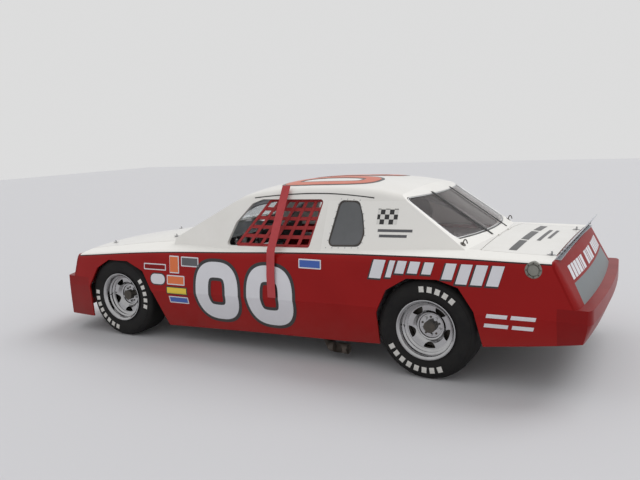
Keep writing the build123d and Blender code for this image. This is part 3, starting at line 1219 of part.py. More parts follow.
for axle, axle_x in (("front", FRONT_AXLE_X), ("rear", REAR_AXLE_X)):
    for side, sign in (("left", 1), ("right", -1)):
        centre = (axle_x, sign * WHEEL_CENTRE_Y, HUB_Z)
        across = Axis(centre, (0, 1, 0))
        profile_plane = Plane(origin=centre, x_dir=(1, 0, 0), z_dir=(0, 0, sign))
        face_plane = Plane(origin=centre, x_dir=(1, 0, 0), z_dir=(0, sign, 0))
        with BuildPart() as rim:
            with BuildSketch(profile_plane):
                with BuildLine():
                    Polyline(*RIM_PROFILE, close=True)
                make_face()
                with BuildLine():
                    Polyline(*DISC_PROFILE, close=True)
                make_face()
            revolve(axis=across)
            # half-moon slots between the spokes, cut straight off below the barrel
            with BuildSketch(face_plane.offset(-40)):
                with PolarLocations(SLOT_CIRCLE_RADIUS, SLOT_COUNT, start_angle=90):
                    Circle(SLOT_RADIUS)
                Circle(SLOT_OUTER_RADIUS, mode=Mode.INTERSECT)
            extrude(amount=120, mode=Mode.SUBTRACT)
            with BuildSketch(face_plane.offset(DISC_FACE)):
                with PolarLocations(LUG_CIRCLE_RADIUS, LUG_COUNT, start_angle=90):
                    RegularPolygon(LUG_RADIUS, 6)
            extrude(amount=LUG_HEIGHT)
        save(rim.part, f"rim_{axle}_{side}")
        with BuildPart() as tyre:
            with BuildSketch(profile_plane):
                with BuildLine():
                    Polyline(*TYRE_PROFILE, close=True)
                make_face()
            revolve(axis=across)
        save(tyre.part, f"tyre_{axle}_{side}")
        with BuildPart() as hub:
            with BuildSketch(face_plane.offset(HUB_BACK)):
                Circle(HUB_RADIUS)
                Circle(SPINDLE_BORE_RADIUS, mode=Mode.SUBTRACT)
            extrude(amount=DISC_BACK - HUB_BACK)
            with BuildSketch(face_plane.offset(HUB_BACK)):
                Circle(BRAKE_DISC_RADIUS)
                Circle(SPINDLE_BORE_RADIUS, mode=Mode.SUBTRACT)
            extrude(amount=BRAKE_DISC_THICKNESS)
            with BuildSketch(face_plane.offset(DISC_BACK - 1)):
                Circle(HUB_BORE_RADIUS)
            extrude(amount=HUB_CAP_HEIGHT)
        save(hub.part, f"hub_{axle}_{side}")
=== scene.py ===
"""Dresses a packed two-door stock car: paint, numbers, wheels, glass, cabin and studio."""

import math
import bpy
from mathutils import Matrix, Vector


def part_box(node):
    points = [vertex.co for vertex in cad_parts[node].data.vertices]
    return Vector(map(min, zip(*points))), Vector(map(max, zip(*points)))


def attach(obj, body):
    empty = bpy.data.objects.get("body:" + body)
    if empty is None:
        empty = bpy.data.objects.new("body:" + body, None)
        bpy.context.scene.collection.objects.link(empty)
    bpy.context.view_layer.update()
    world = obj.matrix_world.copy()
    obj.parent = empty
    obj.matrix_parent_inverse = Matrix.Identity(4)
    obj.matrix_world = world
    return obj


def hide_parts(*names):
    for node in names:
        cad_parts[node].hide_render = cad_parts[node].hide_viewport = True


bl_info = {
    "name": "Stock Car",
    "version": (1, 0, 0),
    "blender": (4, 5, 0),
    "location": "View3D > Sidebar > Stock Car",
    "description": "Builds the finish of a two-door stock car round its packed frame",
    "category": "Object",
}

import bpy
from mathutils import Matrix, Vector

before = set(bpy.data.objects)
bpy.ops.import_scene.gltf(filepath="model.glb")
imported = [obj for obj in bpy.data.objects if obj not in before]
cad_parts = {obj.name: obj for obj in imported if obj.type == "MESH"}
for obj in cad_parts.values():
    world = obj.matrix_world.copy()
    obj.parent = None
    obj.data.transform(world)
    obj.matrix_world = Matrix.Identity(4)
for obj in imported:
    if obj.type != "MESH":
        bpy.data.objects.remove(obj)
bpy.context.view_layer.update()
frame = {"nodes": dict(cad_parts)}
LEFT, RIGHT = 1, -1
SIDES = (("left", LEFT), ("right", RIGHT))
AXLES = ("front", "rear")


def middle(node):
    """The centre of a CAD node's box at rest."""
    low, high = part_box(node)
    return (low + high) / 2


WHEELS = {f"{axle}_{side}": middle(f"tyre_{axle}_{side}") for axle in AXLES for side, _ in SIDES}
TYRE_LOW, TYRE_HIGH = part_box("tyre_front_left")
TYRE_HALF_WIDTH = (TYRE_HIGH.y - TYRE_LOW.y) / 2
COLOUR_SETTING = {"subtype": "COLOR", "size": 4, "min": 0.0, "max": 1.0}


class StockCarPaint(bpy.types.PropertyGroup):
    red: bpy.props.FloatVectorProperty(
        name="Side red", description="Paint below the side line", default=(0.262, 0.0055, 0.0055, 1.0),
        **COLOUR_SETTING,
    )
    cream: bpy.props.FloatVectorProperty(
        name="Top cream", description="Paint above the side line", default=(0.88, 0.865, 0.83, 1.0),
        **COLOUR_SETTING,
    )
    number_white: bpy.props.FloatVectorProperty(
        name="Number white", description="Face of the door numbers", default=(0.74, 0.74, 0.78, 1.0),
        **COLOUR_SETTING,
    )
    number_orange: bpy.props.FloatVectorProperty(
        name="Roof orange", description="Face of the roof number", default=(0.62, 0.13, 0.07, 1.0),
        **COLOUR_SETTING,
    )
    number_height: bpy.props.FloatProperty(
        name="Number height", description="Height of a door digit", subtype="DISTANCE",
        default=0.475, min=0.2, max=0.7,
    )
    number_width: bpy.props.FloatProperty(
        name="Number width", description="Width of a door digit", subtype="DISTANCE",
        default=0.415, min=0.2, max=0.6,
    )
    number_stroke: bpy.props.FloatProperty(
        name="Number stroke", description="Width of a digit's stroke", subtype="DISTANCE",
        default=0.125, min=0.05, max=0.2,
    )
    outline: bpy.props.FloatProperty(
        name="Number outline", description="Width of the dark outline", subtype="DISTANCE",
        default=0.026, min=0.0, max=0.06,
    )


class StockCarWheels(bpy.types.PropertyGroup):
    segments: bpy.props.IntProperty(
        name="Segments", description="Steps round each turned piece", default=96, min=24, max=192,
    )
    mark_inner: bpy.props.FloatProperty(
        name="Mark inner radius", description="Inner radius of the sidewall marks", subtype="DISTANCE",
        default=0.262, min=0.2, max=0.3,
    )
    mark_outer: bpy.props.FloatProperty(
        name="Mark outer radius", description="Outer radius of the sidewall marks", subtype="DISTANCE",
        default=0.302, min=0.25, max=0.33,
    )


class StockCarStudio(bpy.types.PropertyGroup):
    floor: bpy.props.FloatVectorProperty(
        name="Floor", description="Colour of the studio floor", default=(0.62, 0.62, 0.64, 1.0),
        **COLOUR_SETTING,
    )
    sky: bpy.props.FloatProperty(
        name="Sky light", description="Strength of the even light", default=0.72, min=0.0, max=2.0,
    )
    sun: bpy.props.FloatProperty(
        name="Key light", description="Strength of the soft key light", default=1.1, min=0.0, max=5.0,
    )
    lens: bpy.props.FloatProperty(
        name="Lens", description="Focal length of the camera in millimetres", default=37.12,
        min=10.0, max=200.0,
    )


def only(*pieces):
    """Select these pieces alone and make the first one active."""
    bpy.ops.object.select_all(action="DESELECT")
    for piece in pieces:
        piece.select_set(True)
    bpy.context.view_layer.objects.active = pieces[0]


def named(name):
    """The active piece, under its own name, with its place and turn in its mesh."""
    piece = bpy.context.active_object
    only(piece)
    bpy.ops.object.transform_apply(location=True, rotation=True, scale=True)
    piece.name = name
    piece.data.name = name
    return piece


def start(name, add, scale=(1, 1, 1), **values):
    """One primitive, under its own name."""
    bpy.ops.object.select_all(action="DESELECT")
    add(**values)
    bpy.context.active_object.scale = scale
    return named(name)


def edit(piece):
    """Enter edit mode on one piece with everything selected."""
    only(piece)
    bpy.ops.object.mode_set(mode="EDIT")
    bpy.ops.mesh.select_all(action="SELECT")


def leave():
    """Leave edit mode."""
    bpy.ops.object.mode_set(mode="OBJECT")


def divide(piece, cuts):
    """Cut each edge of a piece into equal steps."""
    edit(piece)
    bpy.ops.mesh.subdivide(number_cuts=cuts)
    leave()


def modify(piece, kind, **settings):
    """Apply one modifier to a piece."""
    only(piece)
    change = piece.modifiers.new(kind, kind)
    for key, value in settings.items():
        setattr(change, key, value)
    bpy.ops.object.modifier_apply(modifier=change.name)


def smooth(piece, angle=35.0):
    """Smooth shading that keeps real corners."""
    only(piece)
    bpy.ops.object.shade_smooth_by_angle(angle=math.radians(angle))


def outward(piece, angle=None):
    """Merge doubles and turn every face outwards, then smooth where an angle is given."""
    edit(piece)
    bpy.ops.mesh.remove_doubles(threshold=0.00002)
    bpy.ops.mesh.normals_make_consistent(inside=False)
    leave()
    if angle:
        smooth(piece, angle)


def rounded_edges(piece, width, segments=2):
    """Bevel a piece's sharp edges and smooth the rest."""
    modify(
        piece, "BEVEL", width=width, segments=segments, limit_method="ANGLE", angle_limit=math.radians(35.0),
    )
    smooth(piece)


def project(piece, target, axis, sense, lift):
    """Move a piece's points along an axis until they lie on a CAD node or a form."""
    modify(
        piece, "SHRINKWRAP", target=target, wrap_method="PROJECT", use_project_x=axis == "X",
        use_project_y=axis == "Y", use_project_z=axis == "Z", use_positive_direction=sense > 0,
        use_negative_direction=sense < 0, offset=lift,
    )


def join(name, pieces):
    """Several pieces as one."""
    only(*pieces)
    if len(pieces) > 1:
        bpy.ops.object.join()
    return named(name)


def give(piece, body, material, replaced=()):
    """Put a finished piece on its body with its finish."""
    piece.data.materials.clear()
    piece.data.materials.append(MATERIALS[material])
    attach(piece, body)
    if replaced:
        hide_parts(*replaced)
    return piece


def turned(name, profile, centre, steps):
    """A closed ring turned about the car's cross axis. Profile rows are radius and offset along Y."""
    radius, offset = profile[0]
    piece = start(
        name, bpy.ops.mesh.primitive_circle_add, vertices=steps, radius=radius,
        location=centre + Vector((0, offset, 0)), rotation=(math.pi / 2, 0, 0),
    )
    edit(piece)
    for (radius_from, offset_from), (radius_to, offset_to) in zip(profile, profile[1:]):
        bpy.ops.mesh.extrude_region_move(TRANSFORM_OT_translate={"value": (0, offset_to - offset_from, 0)})
        share = radius_to / radius_from
        bpy.ops.transform.resize(value=(share, 1, share), center_override=centre)
    leave()
    edit(piece)
    bpy.ops.mesh.select_all(action="DESELECT")
    bpy.ops.mesh.select_non_manifold()
    bpy.ops.mesh.bridge_edge_loops()
    leave()
    outward(piece, 30.0)
    return piece


def rod(name, points, radius, smooth_line=True, resolution=4):
    """A round rod or wire along points."""
    curve = bpy.data.curves.new(name, "CURVE")
    curve.dimensions = "3D"
    curve.bevel_depth = radius
    curve.bevel_resolution = resolution
    curve.use_fill_caps = True
    spline = curve.splines.new("NURBS" if smooth_line and len(points) > 2 else "POLY")
    spline.points.add(len(points) - 1)
    for target, point in zip(spline.points, points):
        target.co = (*point, 1.0)
    if spline.type == "NURBS":
        spline.order_u = 3
        spline.use_endpoint_u = True
    piece = bpy.data.objects.new(name, curve)
    bpy.context.scene.collection.objects.link(piece)
    only(piece)
    bpy.ops.object.convert(target="MESH")
    piece = named(name)
    outward(piece, 50.0)
    return piece


def block(name, low, high, bevel=0.002, segments=2):
    """A block between two corners, with rounded edges."""
    low, high = Vector(low), Vector(high)
    piece = start(name, bpy.ops.mesh.primitive_cube_add, high - low, size=1, location=(low + high) / 2)
    rounded_edges(piece, bevel, segments)
    return piece


def disc(name, centre, radius, height, direction, vertices=24, bevel=0.001):
    """A short round piece such as a rivet, bolt head or cap."""
    piece = start(
        name, bpy.ops.mesh.primitive_cylinder_add, vertices=vertices, radius=radius, depth=height,
        location=centre, rotation=Vector(direction).to_track_quat("Z", "Y").to_euler(),
    )
    rounded_edges(piece, bevel)
    return piece


# Small round pieces. Columns: radius, height, rise of its middle over its foot, steps round, edge width.
ROUNDS = {
    "lug": (0.0085, 0.006, 0.0, 6, 0.0008),
    "rivet": (0.0045, 0.004, 0.0, 12, 0.0012),
    "pin_plate": (0.024, 0.003, 0.001, 32, 0.001),
    "pin_bolt": (0.006, 0.026, 0.012, 16, 0.0015),
    "bolt_head": (0.007, 0.006, 0.003, 6, 0.001),
    "washer": (0.010, 0.002, 0.001, 24, 0.0005),
    "screw": (0.0042, 0.003, 0.001, 12, 0.0008),
    "tie_plate": (0.020, 0.004, 0.0015, 24, 0.001),
}


def small_round(kind, foot, normal):
    """A rivet, bolt, screw or plate on the face that its foot is on."""
    radius, height, rise, steps, edge = ROUNDS[kind]
    return disc(kind, foot + normal * rise, radius, height, normal, steps, edge)


def wire_ring(centre, radius, wire, turn, wire_steps):
    """A ring of round wire."""
    return start(
        "ring", bpy.ops.mesh.primitive_torus_add, major_radius=radius, minor_radius=wire,
        major_segments=32, minor_segments=wire_steps, location=centre, rotation=turn,
    )


def solid(colour):
    """A colour that hides what is behind it."""
    return (*colour[:3], 1.0)


def fill(tree, made, **values):
    """Give a shader node its settings, and each input that is named its value or link."""
    for key, value in values.items():
        label = key.replace("_", " ")
        if key.startswith("set_"):
            setattr(made, key[4:], value)
        elif isinstance(value, bpy.types.NodeSocket):
            tree.links.new(value, made.inputs[label])
        else:
            made.inputs[label].default_value = value
    return made


def add_node(tree, kind, **values):
    """A new shader node with its values and links."""
    return fill(tree, tree.nodes.new(kind), **values)


def texture(tree, kind, **values):
    """A new shader node that reads a point's place on the piece."""
    place = tree.nodes.new("ShaderNodeTexCoord").outputs["Object"]
    return add_node(tree, kind, Vector=place, **values)


def place_parts(tree):
    """The outputs X, Y and Z of a point's place."""
    return texture(tree, "ShaderNodeSeparateXYZ").outputs


def new_group(name, inputs, outputs):
    """An empty shader group, what it is given and its output. Rows are socket name, kind and default."""
    tree = bpy.data.node_groups.new(name, "ShaderNodeTree")
    for label, kind, default in inputs:
        socket = tree.interface.new_socket(label, in_out="INPUT", socket_type=kind)
        socket.default_value = default
    for label, kind in outputs:
        tree.interface.new_socket(label, in_out="OUTPUT", socket_type=kind)
    return tree, tree.nodes.new("NodeGroupInput").outputs, tree.nodes.new("NodeGroupOutput")


def sum_of(tree, operation, first, second):
    """A math node on two sockets or numbers."""
    made = tree.nodes.new("ShaderNodeMath")
    made.operation = operation
    for socket, value in zip(made.inputs, (first, second)):
        if isinstance(value, (int, float)):
            socket.default_value = value
        else:
            tree.links.new(value, socket)
    return made.outputs[0]


def blended(tree, share, first, second):
    """A colour mix by a share socket."""
    made = add_node(tree, "ShaderNodeMix", set_data_type="RGBA")
    tree.links.new(share, made.inputs["Factor"])
    for socket, value in ((made.inputs[6], first), (made.inputs[7], second)):
        if isinstance(value, bpy.types.NodeSocket):
            tree.links.new(value, socket)
        else:
            socket.default_value = solid(value)
    return made.outputs[2]


COLOUR, NUMBER = "NodeSocketColor", "NodeSocketFloat"
GREY = (0.5, 0.5, 0.5, 1.0)


def aged_surface_group():
    """Mottled colour, dust that settles low, and a fine grain."""
    tree, given, result = new_group(
        "aged_surface",
        [
            ("Colour", COLOUR, GREY), ("Second Colour", COLOUR, GREY), ("Mottle Scale", NUMBER, 6.0),
            ("Mottle Amount", NUMBER, 0.3), ("Dust Colour", COLOUR, (0.30, 0.27, 0.23, 1.0)),
            ("Dust Low", NUMBER, 0.1), ("Dust High", NUMBER, 0.6), ("Dust Amount", NUMBER, 0.3),
            ("Roughness", NUMBER, 0.4), ("Roughness Swing", NUMBER, 0.1), ("Grain Scale", NUMBER, 400.0),
        ],
        [("Colour", COLOUR), ("Roughness", NUMBER), ("Height", NUMBER)],
    )
    mottle = texture(tree, "ShaderNodeTexNoise", Detail=6.0, Roughness=0.65, Scale=given["Mottle Scale"])
    spread = add_node(tree, "ShaderNodeMapRange", From_Min=0.35, From_Max=0.68, Value=mottle.outputs["Fac"])
    share = sum_of(tree, "MULTIPLY", spread.outputs["Result"], given["Mottle Amount"])
    base = blended(tree, share, given["Colour"], given["Second Colour"])
    fall = add_node(
        tree, "ShaderNodeMapRange", Value=place_parts(tree)["Z"], From_Min=given["Dust Low"],
        From_Max=given["Dust High"], To_Min=1.0, To_Max=0.0,
    )
    drift = texture(tree, "ShaderNodeTexNoise", Scale=9.0, Detail=8.0, Roughness=0.7)
    dust = sum_of(tree, "MULTIPLY", fall.outputs["Result"], drift.outputs["Fac"])
    dust = sum_of(tree, "MULTIPLY", dust, given["Dust Amount"])
    swing = sum_of(tree, "SUBTRACT", mottle.outputs["Fac"], 0.5)
    rough = sum_of(tree, "ADD", given["Roughness"], sum_of(tree, "MULTIPLY", swing, given["Roughness Swing"]))
    grain = texture(tree, "ShaderNodeTexNoise", Detail=3.0, Scale=given["Grain Scale"])
    fill(
        tree, result, Colour=blended(tree, dust, base, given["Dust Colour"]), Height=grain.outputs["Fac"],
        Roughness=sum_of(tree, "ADD", rough, sum_of(tree, "MULTIPLY", dust, 0.6)),
    )
    return tree


# The painted side line, from tail to nose, as x and z.
PAINT_LINE = [
    (-2.34, 0.836), (-1.876, 0.840), (-1.442, 0.846), (-0.911, 0.840), (-0.32, 0.823),
    (0.309, 0.797), (1.107, 0.762), (1.863, 0.703), (2.34, 0.655),
]
LINE_REACH = 2.5
LINE_LOW, LINE_HIGH = 0.6, 0.9
PINSTRIPE = 0.004


def side_line_group():
    """Which side of the painted line a point is on, and the thin stripe along it."""
    tree, _, result = new_group("side_line", [], [("Above", NUMBER), ("Stripe", NUMBER)])
    place = place_parts(tree)
    along = add_node(tree, "ShaderNodeMapRange", From_Min=-LINE_REACH, From_Max=LINE_REACH, Value=place["X"])
    line = add_node(tree, "ShaderNodeFloatCurve", Value=along.outputs["Result"])
    curve = line.mapping.curves[0]
    tall = LINE_HIGH - LINE_LOW
    rows = [((x + LINE_REACH) / (2 * LINE_REACH), (z - LINE_LOW) / tall) for x, z in PAINT_LINE]
    curve.points[0].location = rows[0]
    curve.points[1].location = rows[-1]
    for row in rows[1:-1]:
        curve.points.new(*row)
    line.mapping.update()
    height = sum_of(tree, "ADD", sum_of(tree, "MULTIPLY", line.outputs["Value"], tall), LINE_LOW)
    over = sum_of(tree, "SUBTRACT", place["Z"], height)
    near = sum_of(tree, "LESS_THAN", sum_of(tree, "ABSOLUTE", over, 0.0), PINSTRIPE)
    fill(tree, result, Above=sum_of(tree, "GREATER_THAN", over, 0.0), Stripe=near)
    return tree


def crinkle_group():
    """Fine wrinkles of baked crinkle paint."""
    tree, given, result = new_group("crinkle", [("Scale", NUMBER, 260.0)], [("Height", NUMBER)])
    cells = texture(tree, "ShaderNodeTexVoronoi", set_feature="DISTANCE_TO_EDGE", Scale=given["Scale"])
    fill(tree, result, Height=cells.outputs["Distance"])
    return tree


def weave_group():
    """Crossing threads of a woven ribbon."""
    tree, given, result = new_group("weave", [("Scale", NUMBER, 300.0)], [("Height", NUMBER)])
    heights = []
    for direction in ("X", "Z"):
        threads = texture(
            tree, "ShaderNodeTexWave", set_bands_direction=direction, Distortion=0.3, Scale=given["Scale"],
        )
        heights.append(threads.outputs["Fac"])
    fill(tree, result, Height=sum_of(tree, "MULTIPLY", *heights))
    return tree


def chequers_group():
    """Squares in the side view, one or nought."""
    tree, given, result = new_group("chequers", [("Scale", NUMBER, 30.0)], [("Share", NUMBER)])
    place = place_parts(tree)
    flat = add_node(tree, "ShaderNodeCombineXYZ", X=place["X"], Y=0.01, Z=place["Z"])
    squares = add_node(tree, "ShaderNodeTexChecker", Vector=flat.outputs["Vector"], Scale=given["Scale"])
    fill(tree, result, Share=squares.outputs["Fac"])
    return tree


# The tail panel's bare field: the height of its top, its half width there and how it widens below.
TAIL_BARE_TOP = 0.700
TAIL_BARE_HALF_WIDTH = 0.700
TAIL_BARE_FLARE = -0.27


def tail_field_group():
    """The bare trapezoid on the lower half of the tail panel."""
    tree, _, result = new_group("tail_field", [], [("Share", NUMBER)])
    place = place_parts(tree)
    low = sum_of(tree, "LESS_THAN", place["Z"], TAIL_BARE_TOP)
    drop = sum_of(tree, "SUBTRACT", TAIL_BARE_TOP, place["Z"])
    reach = sum_of(tree, "SUBTRACT", TAIL_BARE_HALF_WIDTH, sum_of(tree, "MULTIPLY", drop, TAIL_BARE_FLARE))
    inside = sum_of(tree, "LESS_THAN", sum_of(tree, "ABSOLUTE", place["Y"], 0.0), reach)
    fill(tree, result, Share=sum_of(tree, "MULTIPLY", low, inside))
    return tree


GROUPS = {}


def placed(tree, group, **values):
    """A shader group in a material, with its own values."""
    return add_node(tree, "ShaderNodeGroup", set_node_tree=GROUPS[group], **values)


def finish(name, colour, second=None, rough=0.4, metal=0.0, coat=0.0, mottle=(6.0, 0.3),
           dust=(0.1, 0.6, 0.2), grain=(400.0, 0.0002), relief=None, ior=1.5):
    """A painted, bare or moulded surface with its own wear."""
    material = bpy.data.materials.new(name)
    material.use_nodes = True
    tree = material.node_tree
    aged = placed(
        tree, "aged_surface", Colour=solid(colour), Second_Colour=solid(second or colour),
        Mottle_Scale=mottle[0], Mottle_Amount=mottle[1], Dust_Low=dust[0], Dust_High=dust[1],
        Dust_Amount=dust[2], Roughness=rough, Roughness_Swing=0.12, Grain_Scale=grain[0],
    )
    height, depth = aged.outputs["Height"], grain[1]
    if relief:
        pattern, scale, depth = relief
        height = placed(tree, pattern, Scale=scale).outputs["Height"]
    bump = add_node(tree, "ShaderNodeBump", Strength=0.5, Distance=depth, Height=height)
    fill(
        tree, tree.nodes["Principled BSDF"], Base_Color=aged.outputs["Colour"],
        Roughness=aged.outputs["Roughness"], Metallic=metal, Coat_Weight=coat, Coat_Roughness=0.08, IOR=ior,
        Normal=bump.outputs["Normal"],
    )
    return material


def recolour(tree, colour):
    """Feed one colour to both colours of a finish."""
    aged = next(n for n in tree.nodes if n.type == "GROUP" and n.node_tree == GROUPS["aged_surface"])
    fill(tree, aged, Colour=colour, Second_Colour=colour)


STRIPE_BROWN = (0.035, 0.02, 0.02)
# Faded paint: what its colour is multiplied by and what is added.
FADE_GAIN, FADE_LIFT = 1.35, 0.002


def side_paint(name, lower, upper):
    """Two-colour body paint, divided by the side line with its thin stripe."""
    material = finish(
        name, lower, rough=0.36, coat=0.06, mottle=(3.0, 0.0), dust=(0.12, 0.50, 0.14), ior=1.22,
    )
    tree = material.node_tree
    line = placed(tree, "side_line").outputs
    worn = texture(tree, "ShaderNodeTexNoise", Scale=2.4, Detail=5.0)
    faded = [min(1.0, share * FADE_GAIN + FADE_LIFT) for share in lower[:3]]
    shade = blended(tree, worn.outputs["Fac"], lower, faded)
    both = blended(tree, line["Above"], shade, upper)
    recolour(tree, blended(tree, line["Stripe"], both, STRIPE_BROWN))
    return material


def two_colour(name, group, lower, upper, **kept):
    """A surface in two colours, divided by a shader group's share."""
    material = finish(name, lower, **kept)
    tree = material.node_tree
    recolour(tree, blended(tree, placed(tree, group).outputs["Share"], lower, upper))
    return material


def clear(name, colour, rough, transmission):
    """Glass or clear sheet."""
    material = finish(
        name, colour, rough=rough, mottle=(4.0, 0.15), dust=(0.6, 1.4, 0.12), grain=(60.0, 0.0001), ior=1.1,
    )
    material.node_tree.nodes["Principled BSDF"].inputs["Transmission Weight"].default_value = transmission
    return material


def dusty(amount):
    """Dust all over, at any height."""
    return (-1.0, 2.0, amount)


# Plain finishes. Columns: colour, second colour, roughness, and what is not as usual.
FINISHES = {
    "number_black": ((0.018, 0.018, 0.020), None, 0.4, dict(coat=0.2)),
    "blank_grey": ((0.10, 0.10, 0.11), (0.05, 0.05, 0.05), 0.4, dict(coat=0.2)),
    "blank_blue": ((0.03, 0.10, 0.42), None, 0.35, dict(coat=0.3)),
    "blank_yellow": ((0.80, 0.58, 0.03), None, 0.35, dict(coat=0.3)),
    "blank_orange": ((0.75, 0.16, 0.03), None, 0.35, dict(coat=0.3)),
    "lamp_blank": ((0.62, 0.63, 0.64), (0.45, 0.46, 0.47), 0.25, dict(coat=0.4)),
    "tyre": (
        (0.009, 0.009, 0.010), (0.020, 0.019, 0.018), 0.58,
        dict(mottle=(9.0, 0.5), dust=dusty(0.05), grain=(900.0, 0.0006), ior=1.25),
    ),
    "tyre_mark": ((0.70, 0.69, 0.66), (0.5, 0.48, 0.44), 0.6, {}),
    "chrome": (
        (0.50, 0.50, 0.51), (0.30, 0.29, 0.28), 0.12,
        dict(metal=1.0, mottle=(14.0, 0.35), dust=dusty(0.10), grain=(60.0, 0.0004)),
    ),
    "greasy_steel": (
        (0.05, 0.047, 0.044), (0.12, 0.10, 0.08), 0.42,
        dict(metal=0.7, mottle=(30.0, 0.6), dust=dusty(0.4)),
    ),
    "aluminium": (
        (0.56, 0.57, 0.58), (0.42, 0.42, 0.42), 0.36,
        dict(metal=1.0, mottle=(8.0, 0.6), dust=dusty(0.15), grain=(700.0, 0.0003)),
    ),
    "bare_strip": (
        (0.50, 0.53, 0.56), (0.40, 0.43, 0.46), 0.4, dict(metal=0.25, mottle=(10.0, 0.5), dust=dusty(0.1)),
    ),
    "filler_grey": (
        (0.27, 0.27, 0.24), (0.17, 0.17, 0.15), 0.4, dict(metal=0.5, mottle=(22.0, 0.6), dust=dusty(0.2)),
    ),
    "cage_grey": (
        (0.33, 0.34, 0.36), (0.25, 0.25, 0.26), 0.42,
        dict(coat=0.2, mottle=(12.0, 0.4), dust=(0.1, 1.2, 0.3)),
    ),
    "frame_black": (
        (0.035, 0.035, 0.037), (0.11, 0.08, 0.06), 0.5, dict(mottle=(9.0, 0.6), dust=(0.0, 0.9, 0.5)),
    ),
    "rust": ((0.10, 0.075, 0.06), (0.055, 0.05, 0.045), 0.7, dict(metal=0.4, mottle=(25.0, 0.8))),
    "rubber": ((0.02, 0.02, 0.02), (0.06, 0.06, 0.06), 0.6, dict(mottle=(20.0, 0.5))),
    "crinkle_black": (
        (0.022, 0.022, 0.024), (0.05, 0.05, 0.05), 0.45, dict(relief=("crinkle", 120.0, 0.0012)),
    ),
    "webbing": (
        (0.36, 0.020, 0.022), (0.24, 0.014, 0.016), 0.72,
        dict(mottle=(18.0, 0.5), relief=("weave", 140.0, 0.0006)),
    ),
    "strap_red": (
        (0.50, 0.055, 0.062), (0.40, 0.040, 0.046), 0.72,
        dict(mottle=(18.0, 0.5), relief=("weave", 140.0, 0.0006)),
    ),
    "strap_black": ((0.02, 0.02, 0.02), (0.07, 0.07, 0.07), 0.7, dict(relief=("weave", 160.0, 0.0004))),
    "seat_cloth": ((0.03, 0.03, 0.034), (0.07, 0.07, 0.075), 0.85, dict(relief=("weave", 220.0, 0.0005))),
    "dark_glass": (
        (0.085, 0.09, 0.095), (0.14, 0.14, 0.15), 0.12,
        dict(coat=0.6, mottle=(3.0, 0.5), grain=(60.0, 0.0002)),
    ),
    "dial_face": ((0.75, 0.75, 0.72), (0.6, 0.6, 0.58), 0.4, {}),
}
DULL_CREAM = (0.74, 0.72, 0.67)
DULL_RED = (0.17, 0.006, 0.007)
BARE_GREY = (0.21, 0.23, 0.24)


def make_materials():
    """Every finish of the car, by name."""
    paint = bpy.context.scene.stock_car_paint
    red, cream = paint.red, paint.cream
    made = {name: finish(name, *row, **rest) for name, (*row, rest) in FINISHES.items()}
    made.update({
        "side_paint": side_paint("side_paint", red, cream),
        "cream_paint": finish(
            "cream_paint", cream, DULL_CREAM, 0.3, coat=0.5, mottle=(2.5, 0.35), dust=(0.5, 1.6, 0.1),
        ),
        "red_paint": finish(
            "red_paint", red, DULL_RED, 0.36, coat=0.06, mottle=(3.0, 0.5), dust=(0.1, 0.5, 0.14), ior=1.22,
        ),
        "number_white": finish("number_white", paint.number_white, (0.62, 0.62, 0.66), 0.4, coat=0.2),
        "roof_orange": finish("roof_orange", paint.number_orange, (0.7, 0.25, 0.17), 0.42, mottle=(5.0, 0.6)),
        "chequered": two_colour("chequered", "chequers", (0.02, 0.02, 0.02), (0.72, 0.71, 0.68), rough=0.4),
        "tail_paint": two_colour(
            "tail_paint", "tail_field", red, BARE_GREY, rough=0.42, dust=(0.1, 0.9, 0.06), ior=1.18,
        ),
        "windshield_glass": clear("windshield_glass", (0.86, 0.90, 0.90), 0.05, 0.95),
        # Rear glass: a light smoked tint whose pink cast is painted reflection of the red cabin.
        "rear_glass": clear("rear_glass", (0.78, 0.74, 0.74), 0.06, 0.94),
    })
    return made


MATERIALS = {}

# The CAD nodes that wear each finish, by the start of their names. The first start that fits counts.
FINISH_NODES = {
    "dark_glass": "quarter_windows",
    "cage_grey": "door_bars floor_pan bulkheads wheel_tubs roll_cage",
    "side_paint": "fender door quarter",
    "cream_paint": "hood cowl roof deck",
    "red_paint": "nose grille rear_bumper",
    "tail_paint": "tail_panel",
    "windshield_glass": "windshield",
    "rear_glass": "rear_window",
    "bare_strip": "spoiler",
    "filler_grey": "fuel_filler",
    "strap_black": "glass_straps",
    "frame_black": "frame_rails crossmembers engine_block fuel_cell suspension_arms",
    "aluminium": "seat steering_column radiator",
    "crinkle_black": "dashboard",
    "rubber": "steering_wheel",
    "webbing": "window_net webbing_strap",
    "greasy_steel": "gearbox driveshaft rear_axle springs knuckle hub",
    "rust": "exhaust",
    "chrome": "rim",
    "tyre": "tyre",
}


class STOCKCAR_OT_finishes(bpy.types.Operator):
    """Make every finish and give each CAD node its own"""

    bl_idname = "stockcar.finishes"
    bl_label = "Finishes"

    def execute(self, context):
        makers = (
            aged_surface_group, side_line_group, crinkle_group, weave_group, chequers_group, tail_field_group,
        )
        GROUPS.update({tree.name: tree for tree in (make() for make in makers)})
        MATERIALS.update(make_materials())
        worn = [(first, MATERIALS[key]) for key, firsts in FINISH_NODES.items() for first in firsts.split()]
        for name, node in frame["nodes"].items():
            material = next(material for first, material in worn if name.startswith(first))
            if node.material_slots:
                for place in node.material_slots:
                    place.material = material
            else:
                node.data.materials.append(material)
        return {"FINISHED"}


